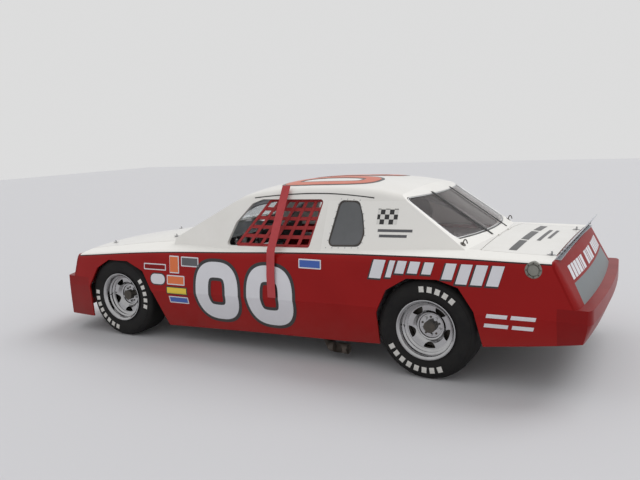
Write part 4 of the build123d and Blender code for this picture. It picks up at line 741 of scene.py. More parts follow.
# One side of a tyre's section, from the bead round the shoulder to the middle of the tread.
TYRE_SIDE = [
    (0.193, 0.084), (0.193, 0.111), (0.203, 0.1155), (0.212, 0.1185), (0.2135, 0.1210), (0.2170, 0.1212),
    (0.2185, 0.1195), (0.232, 0.1240), (0.250, 0.1275), (0.270, 0.1297), (0.290, 0.1303), (0.308, 0.1285),
    (0.3095, 0.1298), (0.3125, 0.1292), (0.3140, 0.1268), (0.326, 0.1225), (0.336, 0.1150), (0.3430, 0.1050),
    (0.3462, 0.0940), (0.3468, 0.0600),
]
TYRE_INNER = [(0.334, 0.0880), (0.262, 0.1150), (0.205, 0.1000)]


def tyre_profile():
    """The whole closed section of a tyre."""
    across = [(radius, -offset) for radius, offset in reversed(TYRE_SIDE)]
    inside = [(radius, -offset) for radius, offset in reversed(TYRE_INNER)]
    return TYRE_SIDE + across + inside + TYRE_INNER


# Marks on a sidewall: the angle of each arc's middle from the top towards the nose, in degrees, and how many.
MARK_ROWS = {"front": [(-80.0, 5), (-235.0, 8)], "rear": [(-18.0, 5), (-200.0, 8)]}
MARK_PITCH = 11.5
MARK_SHARE = 0.62
MARK_THICKNESS = 0.0016
MARK_SINK = 0.0015


def sidewall_marks(name, centre, side, rows):
    """Plain white blocks in two arcs on a tyre's outer side."""
    wheels = bpy.context.scene.stock_car_wheels
    radius = (wheels.mark_inner + wheels.mark_outer) / 2
    width = 2 * radius * math.sin(math.radians(MARK_PITCH / 2)) * MARK_SHARE
    out = side * (TYRE_HALF_WIDTH - MARK_SINK)
    blocks = []
    for middle_angle, count in rows:
        for index in range(count):
            angle = math.radians(middle_angle + (index - (count - 1) / 2) * MARK_PITCH)
            blocks.append(start(
                "mark", bpy.ops.mesh.primitive_cube_add,
                (width, MARK_THICKNESS, wheels.mark_outer - wheels.mark_inner), size=1,
                location=centre + Vector((radius * math.sin(angle), out, radius * math.cos(angle))),
                rotation=(0, angle, 0),
            ))
    piece = join(name, blocks)
    rounded_edges(piece, 0.004, 2)
    return piece


LUG_CIRCLE = 0.0635
LUGS = 5
VALVE_FOOT = (0.172, 0.066)
VALVE_RUN = (-0.010, 0.030)
VALVE_RADIUS = 0.0035
BESIDE_RIM = 0.2


def touch(nodes, start, ahead):
    """Where a straight line meets the first of some CAD nodes, and which way the face looks there."""
    for node in nodes.split():
        met, place, normal, _ = frame["nodes"][node].ray_cast(Vector(start), Vector(ahead))
        if met:
            return place, normal
    raise RuntimeError(f"the line from {tuple(start)} misses {nodes}")


class STOCKCAR_OT_wheels(bpy.types.Operator):
    """Tyres with ribbed sidewalls and plain white marks"""

    bl_idname = "stockcar.wheels"
    bl_label = "Wheels"

    def execute(self, context):
        steps = context.scene.stock_car_wheels.segments
        for axle in AXLES:
            for side_name, side in SIDES:
                wheel = f"{axle}_{side_name}"
                body = f"wheel_{wheel}"
                centre = WHEELS[wheel]
                tyre = turned(f"slick_{wheel}", tyre_profile(), centre, steps)
                give(tyre, body, "tyre", [f"tyre_{wheel}"])
                marks = sidewall_marks(f"sidewall_marks_{wheel}", centre, side, MARK_ROWS[axle])
                give(marks, body, "tyre_mark")
                beside = centre + Vector((0, side * BESIDE_RIM, LUG_CIRCLE))
                face = touch(f"rim_{wheel}", beside, (0, -side, 0))[0].y
                lugs = []
                for index in range(LUGS):
                    angle = 2 * math.pi * index / LUGS
                    x = centre.x + LUG_CIRCLE * math.sin(angle)
                    place = Vector((x, face, centre.z + LUG_CIRCLE * math.cos(angle)))
                    lugs.append(small_round("lug", place, Vector((0, side, 0))))
                give(join(f"lug_studs_{wheel}", lugs), body, "greasy_steel")
                stem = centre + Vector((VALVE_FOOT[0], side * VALVE_FOOT[1], 0))
                tip = stem + Vector((VALVE_RUN[0], side * VALVE_RUN[1], 0))
                valve = rod(f"valve_{wheel}", [stem, tip], VALVE_RADIUS, False)
                give(valve, body, "rubber")
        return {"FINISHED"}


LIFTS = {"under": 0.0010, "over": 0.0022}
DECAL_WALL = 0.0008


def decal(piece, target, axis, sense, lift, material, body="chassis"):
    """Lay a flat shape on the body, with a thin wall and its finish."""
    project(piece, target, axis, sense, LIFTS[lift])
    modify(piece, "SOLIDIFY", thickness=DECAL_WALL, offset=0.0)
    outward(piece, 40.0)
    give(piece, body, material)


PLANE_TURNS = {"side": (math.pi / 2, 0, 0), "top": (0, 0, 0), "tail": (math.pi / 2, 0, math.pi / 2)}


def stand(piece, centre, plane):
    """Turn a flat shape into the side or tail plane, or leave it in the top plane, at its place."""
    only(piece)
    piece.rotation_euler = PLANE_TURNS[plane]
    piece.location = centre
    return named(piece.name)


# How square a figure nought is: 2 is an ellipse.
NOUGHT_POWER = 2.6


def zero_shape(name, width, height, stroke, centre, plane):
    """A rounded, upright figure nought as a flat ring."""
    piece = start(name, bpy.ops.mesh.primitive_circle_add, vertices=64, radius=1, fill_type="NGON")
    for vertex in piece.data.vertices:
        angle = math.atan2(vertex.co.y, vertex.co.x)
        c, s = math.cos(angle), math.sin(angle)
        vertex.co.x = math.copysign(abs(c) ** (2 / NOUGHT_POWER), c) * width / 2
        vertex.co.y = math.copysign(abs(s) ** (2 / NOUGHT_POWER), s) * height / 2
    edit(piece)
    bpy.ops.mesh.inset(thickness=stroke)
    bpy.ops.mesh.delete(type="FACE")
    leave()
    divide(piece, 6)
    return stand(piece, centre, plane)


def panel_shape(name, width, height, centre, plane, slant=0.0, corner=0.0, cuts=5):
    """A flat bar or blank with slanted ends or rounded corners."""
    piece = start(name, bpy.ops.mesh.primitive_plane_add, (width, height, 1), size=1)
    divide(piece, cuts)
    for vertex in piece.data.vertices:
        vertex.co.x += slant * vertex.co.y
        if corner:
            over_x = max(0.0, abs(vertex.co.x) - (width / 2 - corner))
            over_y = max(0.0, abs(vertex.co.y) - (height / 2 - corner))
            reach = math.hypot(over_x, over_y)
            if reach > corner:
                vertex.co.x -= math.copysign(over_x * (1 - corner / reach), vertex.co.x)
                vertex.co.y -= math.copysign(over_y * (1 - corner / reach), vertex.co.y)
    return stand(piece, centre, plane)


# Planes outside the car from which flat shapes are laid on its side, top, tail and nose.
BESIDE, ABOVE, BEHIND, AHEAD = 1.02, 1.6, -2.6, 2.6
DIGIT_CENTRES_X = (0.4675, -0.028)
DIGIT_CENTRE_Z = 0.484
ROOF_DIGIT = (0.80, 0.46, 0.12)
ROOF_DIGIT_X = -0.28
ROOF_DIGITS_Y = (0.27, -0.27)
# Where two body panels meet under the blanks, and how far a shape's points keep from the gap.
SEAMS_X = (0.950, -0.400)
SEAM_CLEAR = 0.009
# Blanks on each side. Columns: name, x, z, width, height, corner, border finish, face finish.
BLANK_BORDER = 0.018
SIDE_BLANKS = [
    ("blank_white_tall", 0.8945, 0.676, 0.103, 0.144, 0.004, "number_white", "blank_orange"),
    ("blank_white_wide", 0.730, 0.706, 0.178, 0.080, 0.004, "number_white", "blank_grey"),
    ("blank_red_wide", 1.099, 0.647, 0.236, 0.054, 0.004, "number_white", "red_paint"),
    ("blank_round", 1.070, 0.5465, 0.166, 0.103, 0.050, "number_black", "number_white"),
    ("blank_white_low", 0.8815, 0.547, 0.183, 0.080, 0.004, "number_white", "blank_orange"),
    ("blank_yellow", 0.8745, 0.4595, 0.217, 0.067, 0.004, "number_black", "blank_yellow"),
    ("blank_blue_low", 0.871, 0.3795, 0.196, 0.059, 0.004, "number_white", "blank_blue"),
    ("blank_blue_rear", -0.389, 0.754, 0.188, 0.070, 0.004, "number_white", "blank_blue"),
]
# Slanted white bars on each quarter. Columns: x, z, width, height.
NAME_BARS = [
    (-0.925, 0.752, 0.088, 0.128), (-1.022, 0.758, 0.040, 0.116), (-1.098, 0.774, 0.064, 0.086),
    (-1.190, 0.777, 0.070, 0.080), (-1.288, 0.777, 0.064, 0.080), (-1.432, 0.765, 0.070, 0.106),
    (-1.530, 0.752, 0.074, 0.130), (-1.628, 0.752, 0.074, 0.130), (-1.730, 0.752, 0.076, 0.130),
]
NAME_BAR_SLANT = 0.30
BAR_SHADOW = 0.012
# Small white bars low on each quarter. Columns: x, z, width.
SMALL_BARS = [
    (-1.742, 0.497, 0.130), (-1.905, 0.497, 0.150), (-1.735, 0.4305, 0.150), (-1.900, 0.4305, 0.130),
]
SMALL_BAR_HEIGHT = 0.026
# Bars and a chequered patch on the sail panel. Columns: x, z, width, height, finish.
SAIL_BARS = [
    (-0.920, 1.086, 0.150, 0.105, "chequered"), (-0.988, 0.992, 0.250, 0.018, "blank_grey"),
    (-0.978, 0.956, 0.200, 0.018, "blank_grey"),
]
# Dark bars on the decklid. Columns: x, y, length across, width along.
DECK_BARS = [
    (-1.770, 0.42, 0.34, 0.052), (-1.770, 0.02, 0.38, 0.052), (-1.770, -0.38, 0.30, 0.052),
    (-1.862, -0.06, 0.52, 0.026), (-1.912, -0.12, 0.40, 0.022),
]
# White bars on the upper half of the tail panel. Columns: y, width.
TAIL_BARS = [
    (0.645, 0.060), (0.565, 0.060), (0.485, 0.070), (0.400, 0.070), (0.330, 0.030), (0.265, 0.066),
    (0.100, 0.066), (0.035, 0.030), (-0.035, 0.070), (-0.120, 0.070), (-0.290, 0.066), (-0.375, 0.070),
    (-0.460, 0.066), (-0.545, 0.066), (-0.625, 0.060),
]
TAIL_BAR_Z = 0.758
TAIL_BAR_HEIGHT = 0.082
TAIL_BAR_SLANT = 0.20


def nought(name, size, centre, plane, face_finish, lay):
    """A figure nought with its dark edge under it. The name takes edge or face in its gap."""
    outline = bpy.context.scene.stock_car_paint.outline
    rows = (("edge", 2, "under", "number_black"), ("face", 0, "over", face_finish))
    for label, grow, lift, material in rows:
        width, height, stroke = (length + grow * outline for length in size)
        lay(zero_shape(name.format(label), width, height, stroke, centre, plane), lift, material)


def side_graphics(side_name, side, form):
    """Numbers, blanks and bars of one side, laid on a joined copy of the body."""
    paint = bpy.context.scene.stock_car_paint
    away = side * BESIDE

    def lay(piece, lift, material):
        for vertex in piece.data.vertices:
            for seam in SEAMS_X:
                beside = vertex.co.x - seam
                if abs(beside) < SEAM_CLEAR:
                    vertex.co.x = seam + math.copysign(SEAM_CLEAR, beside)
        decal(piece, form, "Y", -side, lift, material)

    size = (paint.number_width, paint.number_height, paint.number_stroke)
    for index, x in enumerate(DIGIT_CENTRES_X):
        centre = (x, away, DIGIT_CENTRE_Z)
        nought(f"number_{{}}_{index}_{side_name}", size, centre, "side", "number_white", lay)
    for name, x, z, width, height, corner, edge_finish, inner_finish in SIDE_BLANKS:
        rows = (("", 0.0, "under", edge_finish), ("_face", BLANK_BORDER, "over", inner_finish))
        for label, border, lift, material in rows:
            blank = panel_shape(
                f"{name}{label}_{side_name}", width - border, height - border, (x, away, z), "side",
                corner=max(0.0, corner - border / 2), cuts=15,
            )
            lay(blank, lift, material)
    slant = -NAME_BAR_SLANT * side
    for index, (x, z, width, height) in enumerate(NAME_BARS):
        shadow = panel_shape(
            f"name_shadow_{index}_{side_name}", width + BAR_SHADOW, height + BAR_SHADOW,
            (x + BAR_SHADOW / 2, away, z - BAR_SHADOW / 2), "side", slant,
        )
        lay(shadow, "under", "number_black")
        bar = panel_shape(f"name_bar_{index}_{side_name}", width, height, (x, away, z), "side", slant)
        lay(bar, "over", "number_white")
    for index, (x, z, width) in enumerate(SMALL_BARS):
        name = f"small_bar_{index}_{side_name}"
        bar = panel_shape(name, width, SMALL_BAR_HEIGHT, (x, away, z), "side", slant, cuts=9)
        lay(bar, "under", "number_white")
    for index, (x, z, width, height, material) in enumerate(SAIL_BARS):
        bar = panel_shape(f"sail_bar_{index}_{side_name}", width, height, (x, away, z), "side", cuts=9)
        lay(bar, "under", material)


def laying_form(names):
    """A joined copy of CAD nodes to lay flat shapes on. It is removed again after use."""
    copies = []
    for name in names:
        copy = frame["nodes"][name].copy()
        copy.data = copy.data.copy()
        copy.parent = None
        for key in list(copy.keys()):
            del copy[key]
        bpy.context.scene.collection.objects.link(copy)
        copies.append(copy)
    return join("laying_form", copies)


class STOCKCAR_OT_graphics(bpy.types.Operator):
    """Plain numbers, blanks and bars on the body"""

    bl_idname = "stockcar.graphics"
    bl_label = "Graphics"

    def execute(self, context):
        nodes = frame["nodes"]
        form = laying_form(("doors", "fenders", "quarters"))
        for side_name, side in SIDES:
            side_graphics(side_name, side, form)
        bpy.data.objects.remove(form)
        for index, (x, y, across, along) in enumerate(DECK_BARS):
            bar = panel_shape(f"deck_bar_{index}", along, across, (x, y, ABOVE), "top", cuts=15)
            decal(bar, nodes["decklid"], "Z", -1, "under", "number_black", "decklid")
        for index, (y, width) in enumerate(TAIL_BARS):
            centre = (BEHIND, y, TAIL_BAR_Z)
            bar = panel_shape(f"tail_bar_{index}", width, TAIL_BAR_HEIGHT, centre, "tail", -TAIL_BAR_SLANT)
            decal(bar, nodes["tail_panel"], "X", 1, "under", "number_white")

        def lay(piece, lift, material):
            decal(piece, nodes["roof"], "Z", -1, lift, material)

        for index, y in enumerate(ROOF_DIGITS_Y):
            centre = (ROOF_DIGIT_X, y, ABOVE)
            nought(f"roof_number_{{}}_{index}", ROOF_DIGIT, centre, "top", "roof_orange", lay)
        return {"FINISHED"}


def trim_line(name, corners, corner_radius, target, axis, sense, wire, lift=0.0):
    """A closed bead of rubber or metal along an outline, laid on a CAD node."""
    piece = start(name, bpy.ops.mesh.primitive_circle_add, vertices=len(corners), radius=1)
    for vertex, corner in zip(piece.data.vertices, corners):
        vertex.co = corner
    edit(piece)
    bpy.ops.mesh.bevel(offset=corner_radius, segments=5, affect="VERTICES")
    bpy.ops.mesh.subdivide(number_cuts=5)
    leave()
    project(piece, frame["nodes"][target], axis, sense, lift)
    bpy.ops.object.convert(target="CURVE")
    piece.data.bevel_depth = wire
    piece.data.bevel_resolution = 3
    bpy.ops.object.convert(target="MESH")
    piece = named(name)
    outward(piece, 60.0)
    return piece


# Glass beads. Columns: name, node, half width and z at the foot and at the top, side it is laid from, finish.
GLASS_BEADS = [
    ("rear_glass_bead", "rear_window", (0.641, 0.941), (0.589, 1.205), -1, "aluminium"),
    ("windshield_bead", "windshield", (0.640, 0.914), (0.545, 1.213), 1, "rubber"),
]
GLASS_BEAD_CORNER = 0.034
GLASS_BEAD_WIRE = 0.0055
GLASS_BEAD_LIFT = 0.001
BEYOND_GLASS = 3
# The drip rail along the roof's edge. Its dark rubber finish is painted shade for the shadow line under it.
# Columns: x, z.
DRIP_LINE = [
    (0.230, 1.204), (0.100, 1.218), (-0.100, 1.234), (-0.300, 1.243), (-0.560, 1.238), (-0.800, 1.212),
]
QUARTER_CORNERS = [
    (-0.490, 0.877), (-0.536, 1.189), (-0.686, 1.185), (-0.729, 1.090), (-0.761, 0.967), (-0.739, 0.885),
]
QUARTER_RIVETS = 22
QUARTER_RIVET_SHARE = 1.09
QUARTER_MIDDLE = (-0.625, 1.030)
QUARTER_BEAD_CORNER = 0.040
QUARTER_BEAD_WIRE = 0.006
DRIP_WIRE = 0.0045
OUTSIDE_GLASS = 1.2


def along_closed(corners, count):
    """Evenly spaced points along a closed outline."""
    lengths = [math.dist(a, b) for a, b in zip(corners, corners[1:] + corners[:1])]
    total, points = sum(lengths), []
    for index in range(count):
        left = total * index / count
        for (a, b), length in zip(zip(corners, corners[1:] + corners[:1]), lengths):
            if left <= length:
                points.append(tuple(p + (q - p) * left / length for p, q in zip(a, b)))
                break
            left -= length
    return points


class STOCKCAR_OT_trims(bpy.types.Operator):
    """Beads round the glass, drip rails and the rivets of the quarter windows"""

    bl_idname = "stockcar.trims"
    bl_label = "Glass trims"

    def execute(self, context):
        for name, node, (foot, low), (top, high), sense, material in GLASS_BEADS:
            outline = ((-foot, low), (foot, low), (top, high), (-top, high))
            corners = [(sense * BEYOND_GLASS, y, z) for y, z in outline]
            bead = trim_line(
                name, corners, GLASS_BEAD_CORNER, node, "X", -sense, GLASS_BEAD_WIRE, GLASS_BEAD_LIFT,
            )
            give(bead, "chassis", material)
        for side_name, side in SIDES:
            away, inward = side * OUTSIDE_GLASS, (0, -side, 0)
            corners = [(x, away, z) for x, z in QUARTER_CORNERS]
            bead = trim_line(
                f"quarter_bead_{side_name}", corners, QUARTER_BEAD_CORNER, "quarter_windows", "Y", -side,
                QUARTER_BEAD_WIRE,
            )
            give(bead, "chassis", "frame_black")
            line = [touch("roof quarters doors", (x, away, z), inward)[0] for x, z in DRIP_LINE]
            # The rail is real, but its dark rubber finish is painted shade standing for the shadow line
            # beneath it.
            give(rod(f"drip_rail_painted_shade_{side_name}", line, DRIP_WIRE), "chassis", "rubber")
            rivets = []
            for point in along_closed(QUARTER_CORNERS, QUARTER_RIVETS):
                x, z = (m + (p - m) * QUARTER_RIVET_SHARE for p, m in zip(point, QUARTER_MIDDLE))
                rivets.append(small_round("rivet", *touch("quarters roof", (x, away, z), inward)))
            give(join(f"quarter_rivets_{side_name}", rivets), "chassis", "aluminium")
        return {"FINISHED"}


# Blanked lamp places on the grille panel, each with a dark rim.
LAMPS_Y = (0.700, -0.700)
LAMP_Z, LAMP_WIDTH, LAMP_HEIGHT = 0.612, 0.270, 0.120
LAMP_RIM = 0.012
LAMP_CORNER = 0.014
# Wire screens behind the inlets of the air dam. Columns: y, width.
INLET_SCREENS = [(0.0, 0.720), (0.600, 0.200), (-0.600, 0.200)]
INLET_Z = 0.300
SCREEN_HEIGHT = 0.110
SCREEN_X = 2.308
SCREEN_BOW = 0.222
SCREEN_PITCH = 0.018
SCREEN_WIRE = 0.0026
# Dark blocks behind the two outer screens, painted shade for the dark insides of the brake ducts: low and
# high corner on the left.
DUCT_SHADE_LOW, DUCT_SHADE_HIGH = (2.130, 0.495, 0.238), (2.205, 0.705, 0.362)
DUCT_SHADE_EDGE = 0.006


class STOCKCAR_OT_nose(bpy.types.Operator):
    """Blanked lamp places, the wire screens of the air dam and dark blocks behind them as painted shade
    inside the ducts
    """

    bl_idname = "stockcar.nose"
    bl_label = "Nose"

    def execute(self, context):
        panel = frame["nodes"]["grille_panel"]
        rows = (("rim", LAMP_RIM, "under", "rubber"), ("face", 0.0, "over", "lamp_blank"))
        for index, y in enumerate(LAMPS_Y):
            for label, grow, lift, material in rows:
                lamp = panel_shape(
                    f"lamp_{label}_{index}", LAMP_WIDTH + grow, LAMP_HEIGHT + grow, (AHEAD, y, LAMP_Z),
                    "tail", corner=LAMP_CORNER, cuts=15,
                )
                decal(lamp, panel, "X", -1, lift, material)
        screens = []
        for y, width in INLET_SCREENS:
            screen = start(
                "screen", bpy.ops.mesh.primitive_grid_add, size=1, x_subdivisions=round(width / SCREEN_PITCH),
                y_subdivisions=round(SCREEN_HEIGHT / SCREEN_PITCH),
            )
            for vertex in screen.data.vertices:
                across, up = y + vertex.co.x * width, INLET_Z + vertex.co.y * SCREEN_HEIGHT
                vertex.co = (SCREEN_X - SCREEN_BOW * across ** 2, across, up)
            modify(screen, "WIREFRAME", thickness=SCREEN_WIRE)
            screens.append(screen)
        screen = join("inlet_screens", screens)
        outward(screen)
        give(screen, "chassis", "frame_black")
        # Solid dark rubber blocks fill the duct openings: painted shade for their dark insides.
        shade_blocks = []
        for _, side in SIDES:
            (low_x, near, low_z), (high_x, far, high_z) = DUCT_SHADE_LOW, DUCT_SHADE_HIGH
            low_y, high_y = sorted((side * near, side * far))
            shade_blocks.append(block("shade_block", (low_x, low_y, low_z), (high_x, high_y, high_z), DUCT_SHADE_EDGE))
        give(join("duct_shade_blocks", shade_blocks), "chassis", "rubber")
        return {"FINISHED"}


def ribbon(name, line, across, width, steps=24, thickness=0.0022):
    """A woven strip along a line, with its wall."""
    piece = start(name, bpy.ops.mesh.primitive_grid_add, x_subdivisions=steps, y_subdivisions=4, size=1)
    line = [Vector(point) for point in line]
    across = Vector(across)
    for vertex in piece.data.vertices:
        share = min(0.99999, max(0.0, vertex.co.x + 0.5)) * (len(line) - 1)
        index = int(share)
        vertex.co = line[index].lerp(line[index + 1], share - index) + across * (width * vertex.co.y)
    modify(piece, "SOLIDIFY", thickness=thickness, offset=0.0)
    outward(piece, 40.0)
    return piece


# The net in side view: corners as x and z, from the lower front clockwise.
NET_CORNERS = [(0.325, 0.852), (0.092, 1.186), (-0.394, 1.190), (-0.336, 0.858)]
NET_LINES = 6
NET_DROPS = 7
NET_WIDTH = 0.029
NET_SAG = 0.004
NET_STEPS = 8
# How far lines and drops lie outside the net's plane, and the way across a line.
NET_LINE_OUT, NET_DROP_OUT = -0.004, -0.0008
NET_ACROSS = (0, -0.5, 0.866)
# The rod along the top of the net: each end as x, z and how far it lies outside the net's plane.
NET_ROD = [(0.10, 1.192, -0.012), (-0.40, 1.198, -0.012)]
NET_ROD_RADIUS = 0.008
STRAP_LINE = [
    (-0.060, 0.619, 1.300), (-0.060, 0.752, 1.074), (-0.061, 0.891, 0.840), (-0.062, 0.900, 0.800),
    (-0.058, 0.909, 0.650), (-0.061, 0.913, 0.482),
]
STRAP_WIDTH = 0.070
STRAP_STEPS = 60
STRAP_THICKNESS = 0.003


class STOCKCAR_OT_net(bpy.types.Operator):
    """The window net of crossed ribbons and the loose strap over the door"""

    bl_idname = "stockcar.net"
    bl_label = "Window net"

    def execute(self, context):
        low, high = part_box("window_net")

        def place(x, z, out):
            share = (z - low.z) / (high.z - low.z)
            return Vector((x, high.y + (low.y - high.y) * share + out, z))

        def between(first, second, share):
            return tuple(a + (b - a) * share for a, b in zip(first, second))

        foot_front, top_front, top_rear, foot_rear = NET_CORNERS
        strips = []
        for index in range(NET_LINES):
            share = index / (NET_LINES - 1)
            front = between(foot_front, top_front, share)
            rear = between(foot_rear, top_rear, share)
            points = []
            for step in range(NET_STEPS + 1):
                x, z = between(front, rear, step / NET_STEPS)
                points.append(place(x, z - NET_SAG * math.sin(math.pi * step / NET_STEPS), NET_LINE_OUT))
            strips.append(ribbon("strip", points, NET_ACROSS, NET_WIDTH))
        for index in range(NET_DROPS):
            share = index / (NET_DROPS - 1)
            top = between(top_front, top_rear, share)
            foot = between(foot_front, foot_rear, share)
            wide = NET_WIDTH * (2.0 if index == NET_DROPS - 1 else 1.0)
            points = [
                place(*between(top, foot, step / NET_STEPS), NET_DROP_OUT) for step in range(NET_STEPS + 1)
            ]
            strips.append(ribbon("strip", points, (1, 0, 0), wide))
        net = give(join("net_ribbons", strips), "chassis", "webbing", ["window_net"])
        top_rod = rod("net_rod", [place(*end) for end in NET_ROD], NET_ROD_RADIUS, False)
        give(top_rod, "chassis", "frame_black")
        strap = ribbon("roof_strap", STRAP_LINE, (1, 0, 0), STRAP_WIDTH, STRAP_STEPS, STRAP_THICKNESS)
        give(strap, "chassis", "strap_red", ["webbing_strap"])
        return {"FINISHED"}


# Pinned lids. Columns: name, node, body, x, y.
LID_PINS = [
    ("deck_left", "decklid", "decklid", -2.026, 0.640), ("deck_right", "decklid", "decklid", -2.026, -0.458),
    ("hood_left", "hood", "hood", 1.960, 0.470), ("hood_right", "hood", "hood", 1.960, -0.470),
    ("hood_rear_left", "hood", "hood", 1.160, 0.520), ("hood_rear_right", "hood", "hood", 1.160, -0.520),
]
SPOILER_BOLTS = 14
SPOILER_BOLT_Z = 0.884
# Both faces of the spoiler. Columns: x that a line starts from, its way along X.
SPOILER_FACES = [(-1.8, -1), (-2.6, 1)]
SPOILER_HALF = 0.70
# The split ring that lies over each lid pin.
RING_RISE = 0.006
RING_RUN = Vector((0.012, 0, 0))
RING_RADIUS = 0.017
RING_WIRE = 0.0018
RING_TURN = (0.1, 0.2, 0)
FILLER_SCREWS = 8
FILLER_CENTRE = (-1.958, 0.802)
FILLER_SCREW_CIRCLE = 0.044
TIE_DOWN = (-1.455, 0.655)
TIE_DOWN_HOOK = [(0, 0, 0), (-0.004, 0, 0.030), (-0.026, 0, 0.034), (-0.030, 0, 0.006)]
TIE_DOWN_WIRE = 0.004


class STOCKCAR_OT_fittings(bpy.types.Operator):
    """Lid pins with their rings, bolts, screws and tie-downs"""

    bl_idname = "stockcar.fittings"
    bl_label = "Fittings"

    def execute(self, context):
        for name, node, body, x, y in LID_PINS:
            foot, normal = touch(node, (x, y, ABOVE), (0, 0, -1))
            plate = small_round("pin_plate", foot, normal)
            bolt = small_round("pin_bolt", foot, normal)
            ring = wire_ring(foot + normal * RING_RISE + RING_RUN, RING_RADIUS, RING_WIRE, RING_TURN, 10)
            piece = join(f"pin_{name}", [plate, bolt, ring])
            smooth(piece, 40.0)
            give(piece, body, "chrome")
        heads = []
        for index in range(SPOILER_BOLTS):
            y = SPOILER_HALF * (2 * index / (SPOILER_BOLTS - 1) - 1)
            for start_x, way in SPOILER_FACES:
                foot, normal = touch("spoiler", (start_x, y, SPOILER_BOLT_Z), (way, 0, 0))
                heads += [small_round(kind, foot, normal) for kind in ("bolt_head", "washer")]
        give(join("spoiler_bolts", heads), "chassis", "greasy_steel")
        screws = []
        for index in range(FILLER_SCREWS):
            angle = 2 * math.pi * index / FILLER_SCREWS
            x = FILLER_CENTRE[0] + FILLER_SCREW_CIRCLE * math.cos(angle)
            z = FILLER_CENTRE[1] + FILLER_SCREW_CIRCLE * math.sin(angle)
            screws.append(small_round("screw", *touch("fuel_filler", (x, OUTSIDE_GLASS, z), (0, -1, 0))))
        give(join("filler_screws", screws), "chassis", "greasy_steel")
        for side_name, side in SIDES:
            foot, normal = touch("quarters", (TIE_DOWN[0], side * TIE_DOWN[1], ABOVE), (0, 0, -1))
            plate = small_round("tie_plate", foot, normal)
            hook = rod("hook", [foot + Vector(step) for step in TIE_DOWN_HOOK], TIE_DOWN_WIRE)
            give(join(f"tie_down_{side_name}", [plate, hook]), "chassis", "greasy_steel")
        return {"FINISHED"}


# How far a pad's top falls at its edge and at a seam, its underside's share and its sides' pull inwards.
PAD_EDGE_FALL, PAD_SEAM_FALL, PAD_UNDERSIDE, PAD_PULL = 0.45, 0.16, 0.9, 0.05
PAD_SEAM_SHARPNESS = 18


def cushion(name, centre, size, slope, channels):
    """A sewn pad: crowned, pulled in at its seams and rounded at its sides. Slope is its turn about Y."""
    piece = start(name, bpy.ops.mesh.primitive_cube_add, size=2)
    divide(piece, 15)
    for vertex in piece.data.vertices:
        u, v, w = vertex.co
        edge = max(abs(u), abs(v)) ** 6
        seam = math.exp(-((math.sin(math.pi * channels * (v + 1) / 2)) ** 2) * PAD_SEAM_SHARPNESS)
        crown = 1.0 - PAD_EDGE_FALL * edge - PAD_SEAM_FALL * seam if w > 0 else PAD_UNDERSIDE
        pull = 1.0 - PAD_PULL * abs(w) ** 4
        vertex.co = (u * size[0] / 2 * pull, v * size[1] / 2 * pull, w * size[2] / 2 * crown)
    modify(piece, "SUBSURF", levels=1, render_levels=1)
    piece.rotation_euler = (0, slope, 0)
    piece.location = centre
    piece = named(name)
    outward(piece, 60.0)
    return piece


# The driver's middle line, and how far each belt runs from it, at the points of its line as x, share and z.
DRIVER_Y = 0.385
BELT_OFFSET = 0.075
BELT_WIDTH = 0.048
BELT_STEPS = 40
BELT_LINE = [
    (-0.420, 1.0, 0.90), (-0.330, 1.0, 1.010), (-0.255, 0.9, 0.960),
    (-0.205, 0.7, 0.780), (-0.150, 0.3, 0.560), (-0.100, 0.0, 0.480),
]
# Seat pads. Columns: name, middle, size, turn in degrees.
PADS = [
    ("seat_pad", (-0.040, DRIVER_Y, 0.436), (0.330, 0.340, 0.060), 0.0),
    ("back_pad", (-0.238, DRIVER_Y, 0.700), (0.480, 0.320, 0.055), -97.0),
]
PAD_CHANNELS = 5
# Dials on the dashboard. Columns: y, z, radius.
DIALS = [
    (0.385, 0.812, 0.046), (0.270, 0.818, 0.027), (0.195, 0.818, 0.027), (0.500, 0.818, 0.027),
    (0.195, 0.748, 0.027),
]
DIAL_START_X = 0.3
# A dial's face and its rim of wire, as shares of its radius, with the face's depth and the wire's radius.
DIAL_FACE_SHARE, DIAL_RIM_SHARE = 0.88, 0.93
DIAL_DEPTH, DIAL_WIRE = 0.006, 0.004
# The mirror's two corners, its stalks' places across the car and the x and z of a stalk's ends.
MIRROR = ((0.330, 0.02, 1.120), (0.350, 0.36, 1.176))
STALKS_Y = (0.10, 0.28)
STALK_LINE = [(0.345, 1.150), (0.360, 1.215)]
STALK_RADIUS = 0.006
LEVER_LINE = [(0.260, 0.06, 0.440), (0.230, 0.09, 0.560), (0.170, 0.13, 0.680)]
LEVER_RADIUS = 0.008
KNOB_PLACE, KNOB_WAY = (0.168, 0.131, 0.690), (-0.3, 0.2, 0.9)
KNOB_RADIUS, KNOB_HEIGHT, KNOB_EDGE = 0.022, 0.036, 0.012


